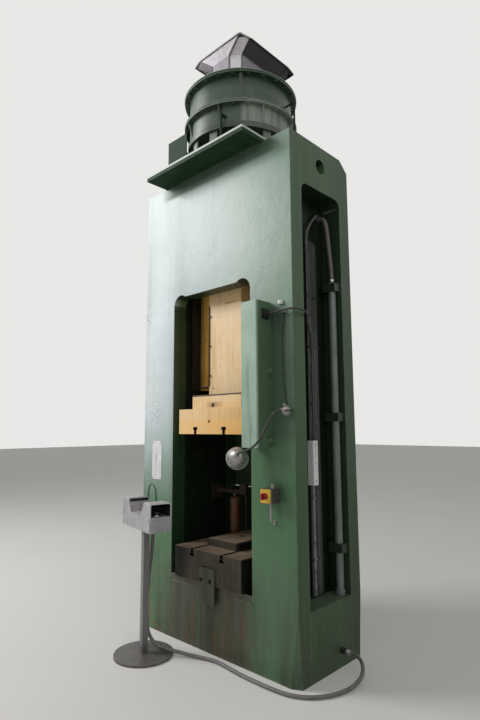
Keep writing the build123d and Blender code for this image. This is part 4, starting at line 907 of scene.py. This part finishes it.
piece("lamp_reflector", reflector(), "spun", stands_for=("lamp_head",))
piece("lamp_gooseneck", ribbed_neck(), "neck", stands_for=("lamp_neck",))
collar_places = (facing(0.754, -0.4165, 1.714, (0, -1, 0)), LAMP_PLACE @ Matrix.Translation((0, 0, 0.128)),
                 facing(0.746, -0.3783, 1.742, (0, 0, 1)))
piece("lamp_collars", [turned([(0.0105, 0), (0.0115, 0.002), (0.0115, 0.012), (0.0095, 0.015)], each, 32)
                       for each in collar_places], "lamp_cast")
dome_tilts = np.linspace(0.02, np.pi / 2, 24)[:, None]
dome_angles = np.linspace(0, 2 * np.pi, 48, endpoint=False)
piece("lamp_dome", dome(dome_tilts, dome_angles), "lamp_cast", stands_for=("lamp_base",))
piece("lamp_dome_slot", carried(dome(np.linspace(0.42, 1.55, 24), np.zeros(24)), bar(0.003, 0.012)), "seam_and_shade",
      smooth=False)

# Welds: beads along the deck, the recesses, the shield and the feet of the columns
deck_foot, deck_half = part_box("top_deck")[0].z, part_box("top_deck")[1].x
web_low, web_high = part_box("frame_webs")
shield_foot, column_side, column_foot = 3.700, 0.433, 0.425


def weld(name, runs, finish, radius, up=(0, 0, 1)):
    """Beads along straight runs, each a piece of its own."""
    for number, (start, end) in enumerate(runs):
        piece(f"{name}_{number + 1}", bead(start, end, radius, up=up), finish)


weld("deck_weld", [((-deck_half, y, deck_foot), (deck_half, y, deck_foot)) for y in (FRONT, BACK)]
     + [((x, FRONT, deck_foot), (x, BACK, deck_foot)) for x in (deck_half, -deck_half)], "deck",
     0.0065)
weld("recess_weld", [((x, y, web_low.z + 0.002), (x, y, web_high.z - 0.002))
                     for x in (web_low.x, web_high.x) for y in (web_low.y, web_high.y)],
     "web", 0.006, up=(1, 0, 0))
weld("shield_weld", [((-0.538, FRONT + 0.008, shield_foot), (-0.285, FRONT + 0.008, shield_foot))], "deck",
     0.005)
weld("foot_weld", [((x, FRONT, column_foot), (x, web_low.y, column_foot))
                   for x in (-column_side, column_side)], "web", 0.006)

# Hood: its folds, rolled rim and base flange, and a dark band under the rim as painted shadow; trim stands a
# little outside the sheet
NARROW = np.array([(-0.104, -0.243), (0.104, -0.243), (0.178, -0.169), (0.178, 0.266), (0.104, 0.340),
                   (-0.104, 0.340), (-0.178, 0.266), (-0.178, -0.169)])
WIDE = np.array([(-0.228, -0.275), (0.258, -0.275), (0.278, -0.175), (0.278, 0.330), (0.258, 0.430),
                 (-0.228, 0.430), (-0.320, 0.403), (-0.320, -0.248)])
trim_share, rim_shadow_share = 1.004, 0.94
hood_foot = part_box("motor_hood")[0].z + 0.002
fold_widths = (0.006, 0.020, 0.009, 0.006, 0.006, 0.006, 0.006, 0.006)


def outline_at(plan, height, count=40):
    """A closed outline with even steps along each of its sides, at one height."""
    part = np.linspace(0, 1, count, endpoint=False)[None, :, None]
    flat = (plan[:, None] * (1 - part) + np.roll(plan, -1, axis=0)[:, None] * part).reshape(-1, 2)
    return np.column_stack([flat, np.full(len(flat), height)])


def fold(corner):
    """The path up one fold of the hood: straight up the neck, then out along the flare."""
    rise = np.linspace(0, 1, 30)[:, None]
    low, kink = (np.append(NARROW[corner] * trim_share, height) for height in (hood_foot, HOOD_KINK))
    high = np.append(WIDE[corner] * trim_share, HOOD_TOP - 0.004)
    return np.vstack([low + (kink - low) * rise[:-1], kink + (high - kink) * rise])


rim_shadow_plan = (NARROW * (1 - rim_shadow_share) + WIDE * rim_shadow_share) * trim_share
rim_shadow_height = HOOD_KINK + (HOOD_TOP - HOOD_KINK) * rim_shadow_share
piece("hood_folds", [carried(fold(corner), bar(width, 0.006), up=(0.3, 1, 0))
                     for corner, width in enumerate(fold_widths)], "seam_and_shade", smooth=False)
piece("hood_rim", carried(outline_at(WIDE, HOOD_TOP), circle(0.007, 12), closed=True), "hood",
      wrap_rows=True)
# a dark band just under the rolled rim: painted shadow of the rim
piece("hood_rim_shadow_band", carried(outline_at(rim_shadow_plan, rim_shadow_height), bar(0.004, 0.007), closed=True), "seam_and_shade",
      wrap_rows=True, smooth=False)
piece("hood_flange", carried(outline_at(NARROW * 1.06, hood_foot + 0.0015), bar(0.036, 0.004), closed=True),
      "hood", wrap_rows=True, smooth=False)
screws("hood_flange_screws", outline_at(NARROW * 1.09, hood_foot + 0.003, 3), (0, 0, 1), 0.007, 0.006)

# Drum: gussets under its rims, feet under its edge, a rolled edge on each rim


def spokes(count, first):
    """Directions out from the drum's axis and along its edge, at even angles from the first, in degrees."""
    angle = np.radians(np.arange(count) * 360 / count + first)
    out = np.stack([np.cos(angle), np.sin(angle), np.zeros(count)], axis=1)
    return out, np.stack([-np.sin(angle), np.cos(angle), np.zeros(count)], axis=1)


def gussets(low=4.010, high=4.134, reach=0.034):
    """Eight upright plates on the drum: a four-sided section carried up, reaching further out at its top."""
    rise = np.linspace(0, 1, 6)[:, None]
    depth = 0.006 + (reach - 0.006) * rise ** 1.5
    middle = np.array((0, 0, low)) + np.array((0, 0, high - low)) * rise
    grids = []
    for out, across in zip(*spokes(8, 21.5)):
        near, far, half = middle + out * 0.438, middle + out * (0.440 + depth), across * 0.005
        grids.append(np.stack([near - half, near + half, far + half, far - half], axis=1))
    return grids


def drum_feet(low=3.700, high=3.940):
    """Twelve upright plates under the drum's edge, 70 mm along it and 14 mm thick, from the deck up to the
    drum."""
    out, across = spokes(12, 13)
    corners = [(0.416, -0.035), (0.430, -0.035), (0.430, 0.035), (0.416, 0.035)]
    ring = np.stack([reach * out + aside * across for reach, aside in corners], axis=1)
    return np.stack([ring + (0, 0, height) for height in (low, high)], axis=1)


def round_path(radius, height, count=180):
    return np.column_stack([circle(radius, count), np.full(count, height)])


piece("drum_gussets_low", gussets(), "drum", smooth=False)
piece("drum_feet", drum_feet(), "rim", smooth=False)
for number, (radius, height) in enumerate(((0.482, 4.135), (0.482, 4.155), (0.485, 4.407))):
    piece(f"drum_rim_edge_{number + 1}", carried(round_path(radius, height), circle(0.004, 8), closed=True),
          "rim", wrap_rows=True)

# Screws on the covers, dark rings round small holes as painted shade, and the slide's foot and joint
name_low, name_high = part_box("name_plate")
duct_low, duct_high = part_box("duct_cover")
guard_low, guard_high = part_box("rear_guard")
flap_low, flap_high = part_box("rear_flap")


def inset(low, high, margin, count=2):
    """Even places between two edges, the outer ones a margin inside them."""
    return np.linspace(low + margin, high - margin, count)


def hole_rings(bore, places, lip):
    """Flat dark rings round small holes in a face that looks to the front, painted shade that widens each
    hole's dark; each place is a radius and a middle.
    """
    return [turned([(bore, 0), (radius, 0), (radius, 0.0008), (bore, lip)], facing(*middle, (0, -1, 0)), 32)
            for radius, *middle in places]


screws("cover_lug_screws", [(0.634, -0.3845, 1.5155), (0.634, -0.3845, 1.9865)], (1, 0, 0), 0.008, 0.006)
screws("name_plate_screws", [(x, name_low.y, z) for x in inset(name_low.x, name_high.x, 0.010)
                             for z in inset(name_low.z, name_high.z, 0.012)], (0, -1, 0), 0.004, 0.003)
screws("duct_screws", [(duct_high.x, 0.012, z) for z in inset(duct_low.z, duct_high.z, 0.030, 3)], (1, 0, 0),
       0.005, 0.003)
screws("guard_screws", [(x, guard_high.y, z) for x in inset(guard_low.x, guard_high.x, 0.020)
                        for z in inset(guard_low.z, guard_high.z, 0.030, 7)]
       + [(x, guard_high.y, z) for x in (-0.25, 0.0, 0.25) for z in inset(guard_low.z, guard_high.z, 0.030)],
       (0, 1, 0), 0.009, 0.006)
screws("flap_screws", [(x, flap_high.y, flap_high.z - 0.022)
                       for x in inset(flap_low.x, flap_high.x, 0.033, 7)], (0, 1, 0), 0.009, 0.006)
ejector_holes = [(0.0165, x, -0.4025, 0.5035) for x in (-0.045, 0.051)]
slide_holes = [(0.0165, 0, -0.325, 1.7745), (0.0115, 0, -0.3655, 1.650)]
piece("ejector_hole_shade_rings", hole_rings(0.0108, ejector_holes, 0.0012), "shade_black",
      wrap_rows=True)
# a plate that closes the gap under the bolster at the front; the frame paint darkens it as painted shade
piece("table_edge", box_grid((-0.4325, FRONT, 0.4255), (0.4325, FRONT + 0.012, 0.4745)), "frame",
      smooth=False)
cap_profile = [(0.0005, 0), (0.018, 0), (0.0195, 0.002), (0.0195, 0.022), (0.016, 0.026), (0.0005, 0.026)]
piece("cable_cap", turned(cap_profile, facing(0.7205, -0.372, 2.435, (0, 0, 1)), 32), "plate")
piece("slide_foot_step", box_grid((0.236, -0.3248, 1.7472), (0.300, 0.3248, 1.8570)), "slide",
      body="ram", smooth=False)
piece("slide_hole_shade_rings", hole_rings(0.0078, slide_holes, 0.0010), "seam_and_shade", body="ram",
      wrap_rows=True)
joint_path = [(x, -0.1965, 1.8585) for x in np.linspace(-0.183, 0.183, 20)]
piece("slide_joint", carried(joint_path, bar(0.006, 0.005)), "seam_and_shade", body="ram", smooth=False)

# Control stand, in its own place: half its width and depth, its lid's and its crown's height, in metres
HALF, DEEP, LID, CROWN = 0.255, 0.0825, 0.985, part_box("console_body")[1].z


def mouth_section(grow, low=LID + 0.001):
    """The mouth's outline over the lid: up one side, round two corners and down the other."""
    side, top, corner = DEEP - 0.008 - grow, CROWN - 0.008 - grow, 0.014
    turn = np.linspace(0, 0.5 * np.pi, 7)
    left = np.column_stack([-side + corner * (1 - np.cos(turn)), top - corner * (1 - np.sin(turn))])
    return np.vstack([[(-side, low)], left, left[::-1] * (-1, 1), [(side, low)]])


def along_hood(loop, side, stations):
    """The loop, seen from the stand's end, carried along one hood through its stations."""
    grid = np.stack([np.column_stack([np.full(len(loop), side * x), loop]) for x in stations])
    return placed(grid, STAND_PLACE)


def mouth_rim(side):
    """A round bead along the mouth's edge."""
    path = along_hood(mouth_section(-0.003), side, [HALF + 0.0005])[0]
    return carried(path, circle(0.0035, 10), up=tuple(STAND_PLACE.to_3x3() @ Vector((1, 0, 0))))


# black liners and backs inside the hoods' mouths: painted shade in the openings
skin = np.vstack([mouth_section(0.0003), mouth_section(0.0023)[::-1]])
for number, side in enumerate((-1, 1)):
    piece(f"mouth_shade_liner_{number + 1}", along_hood(skin, side, (0.131, 0.1915, 0.2540)), "shade_black")
    piece(f"mouth_shade_back_{number + 1}", along_hood(mouth_section(0.0006), side, (0.1305, 0.1325)), "shade_black",
          smooth=False)
    piece(f"mouth_rim_{number + 1}", mouth_rim(side), "plate")


def stand_spot(x, y, z, direction):
    """A place on the stand whose own Z axis looks along the stand's direction."""
    return facing(*(STAND_PLACE @ Vector((x, y, z))), STAND_PLACE.to_3x3() @ Vector(direction))


def collar(inner, outer, height):
    """A closed ring with an eased outer edge: its section's corners go round the axis."""
    return [(inner, 0), (outer, 0), (outer, height * 0.7), (outer - 0.001, height), (inner, height)]


piece("palm_collars", [turned(collar(0.0275, 0.033, 0.006), stand_spot(x, 0, LID, (0, 0, 1)), 40)
                       for x in (-0.183, 0.183)], "bright", wrap_rows=True)
piece("start_collar", turned(collar(0.0118, 0.018, 0.005), stand_spot(0, 0, LID, (0, 0, 1)), 40), "bright",
      wrap_rows=True)
piece("console_screws", [screw_head(0.0045, 0.003, stand_spot(x, -DEEP, z, (0, -1, 0)))
                         for x in (-0.235, 0.235) for z in (0.895, 0.970)], "zinc")

# Ferrules, bands and clips at the cords, and the wires that leave the bundle at its top
FERRULE = [(0.0133, 0), (0.0175, 0), (0.0175, 0.012), (0.0160, 0.014), (0.0150, 0.030), (0.0133, 0.032)]
RECESS_BAND = [(0.0185, 0), (0.0215, 0), (0.0215, 0.016), (0.0185, 0.016)]
WIRE_LOOP = [(0.6715, 0.0, 2.950), (0.676, -0.002, 3.030), (0.688, 0.004, 3.090), (0.695, 0.050, 3.160),
             (0.690, 0.130, 3.242), (0.655, 0.200, 3.250)]
piece("hose_ferrules", [turned(FERRULE, facing(*CONSOLE_ROUTE[0], (0, 0, -1)), 32),
                        turned(FERRULE, facing(*CONSOLE_ROUTE[-1], (1, 0, 0)), 32)], "zinc",
      wrap_rows=True)
piece("recess_bands", [turned(RECESS_BAND, facing(0.757, 0.204, 2.700, (0, 0, 1)), 40),
                       turned(RECESS_BAND, facing(0.663, 0.150, 3.206, (1, 0, 0)), 40)], "bright",
      wrap_rows=True, smooth=False)
piece("bundle_loop", carried(eased(WIRE_LOOP, 0.006), circle(0.009, 12), up=(1, 0.1, 0)), "grey_cable")
piece("bundle_ends", [carried(eased([(0.6715, y, 2.950), (0.6715, y, 2.998), (0.655, y, 3.006)], 0.004),
                              circle(0.0108, 12), up=(0, 1, 0)) for y in (0.026, 0.052, 0.078, 0.104)],
      "wires")
piece("lamp_lead_clips", [box_grid((x - 0.012, -0.3672, z - 0.005), (x - 0.006, -0.3655, z + 0.005))
                          for x, z in ((0.726, 2.180), (0.727, 1.990))], "zinc", smooth=False)

# Stage and light: each panel's place, its size in metres and its radiance
floor_corners = [(-40, -40, 0), (40, -40, 0), (40, 40, 0), (-40, 40, 0)]
PANELS = dict(key_panel=((-5.4, -4.6, 6.2), (3.0, 3.0), 15.5), fill_panel=((6.5, -4.5, 5.5), (5.0, 5.0), 1.1),
              top_panel=((0.5, -2.0, 9.0), (6.0, 6.0), 0.5))
AIM = Vector((0, 0, 2.2))
backdrop_strength, object_strength = 1.0, 0.24


def backdrop_share(tree):
    """1 for rays that look at the background: straight, by gloss or through glass."""
    path = shade(tree, "ShaderNodeLightPath")
    seen = reckon(tree, "MAXIMUM", path.outputs["Is Camera Ray"], path.outputs["Is Glossy Ray"])
    return reckon(tree, "MAXIMUM", seen, path.outputs["Is Transmission Ray"])


def make_stage():
    grain = Finish("pale_floor", (214, 212, 208), 0.7)
    grain.mottled(0.6, 0.3, 0.7, (206, 204, 200), 0.5)
    grain.shader.inputs["Emission Color"].default_value = colour(228, 226, 222)
    grain.shader.inputs["Emission Strength"].default_value = 0.12
    mesh = bpy.data.meshes.new("floor")
    mesh.from_pydata(floor_corners, [], [(0, 1, 2, 3)])
    mesh.materials.append(grain.done())
    place_in_scene("floor", mesh)


def make_world():
    world = bpy.data.worlds.new("studio")
    bpy.context.scene.world = world
    world.use_nodes = True
    tree = world.node_tree
    background = tree.nodes["Background"].inputs
    plug(tree, background["Color"], colour(232, 232, 230))
    strength = ramp(tree, backdrop_share(tree), 0.0, 1.0, object_strength, backdrop_strength)
    plug(tree, background["Strength"], strength)


def make_light(name, place, size, radiance):
    """A soft panel that faces the press; its power gives the stated radiance."""
    lamp = bpy.data.lights.new(name, "AREA")
    lamp.shape = "RECTANGLE"
    lamp.size, lamp.size_y = size
    lamp.energy = radiance * math.pi * size[0] * size[1]
    made = place_in_scene(name, lamp)
    made.location = place
    made.rotation_euler = (AIM - Vector(place)).to_track_quat("-Z", "Y").to_euler()


make_stage()
make_world()
for name, panel in PANELS.items():
    make_light(name, *panel)
bpy.context.scene.view_settings.view_transform = "Standard"
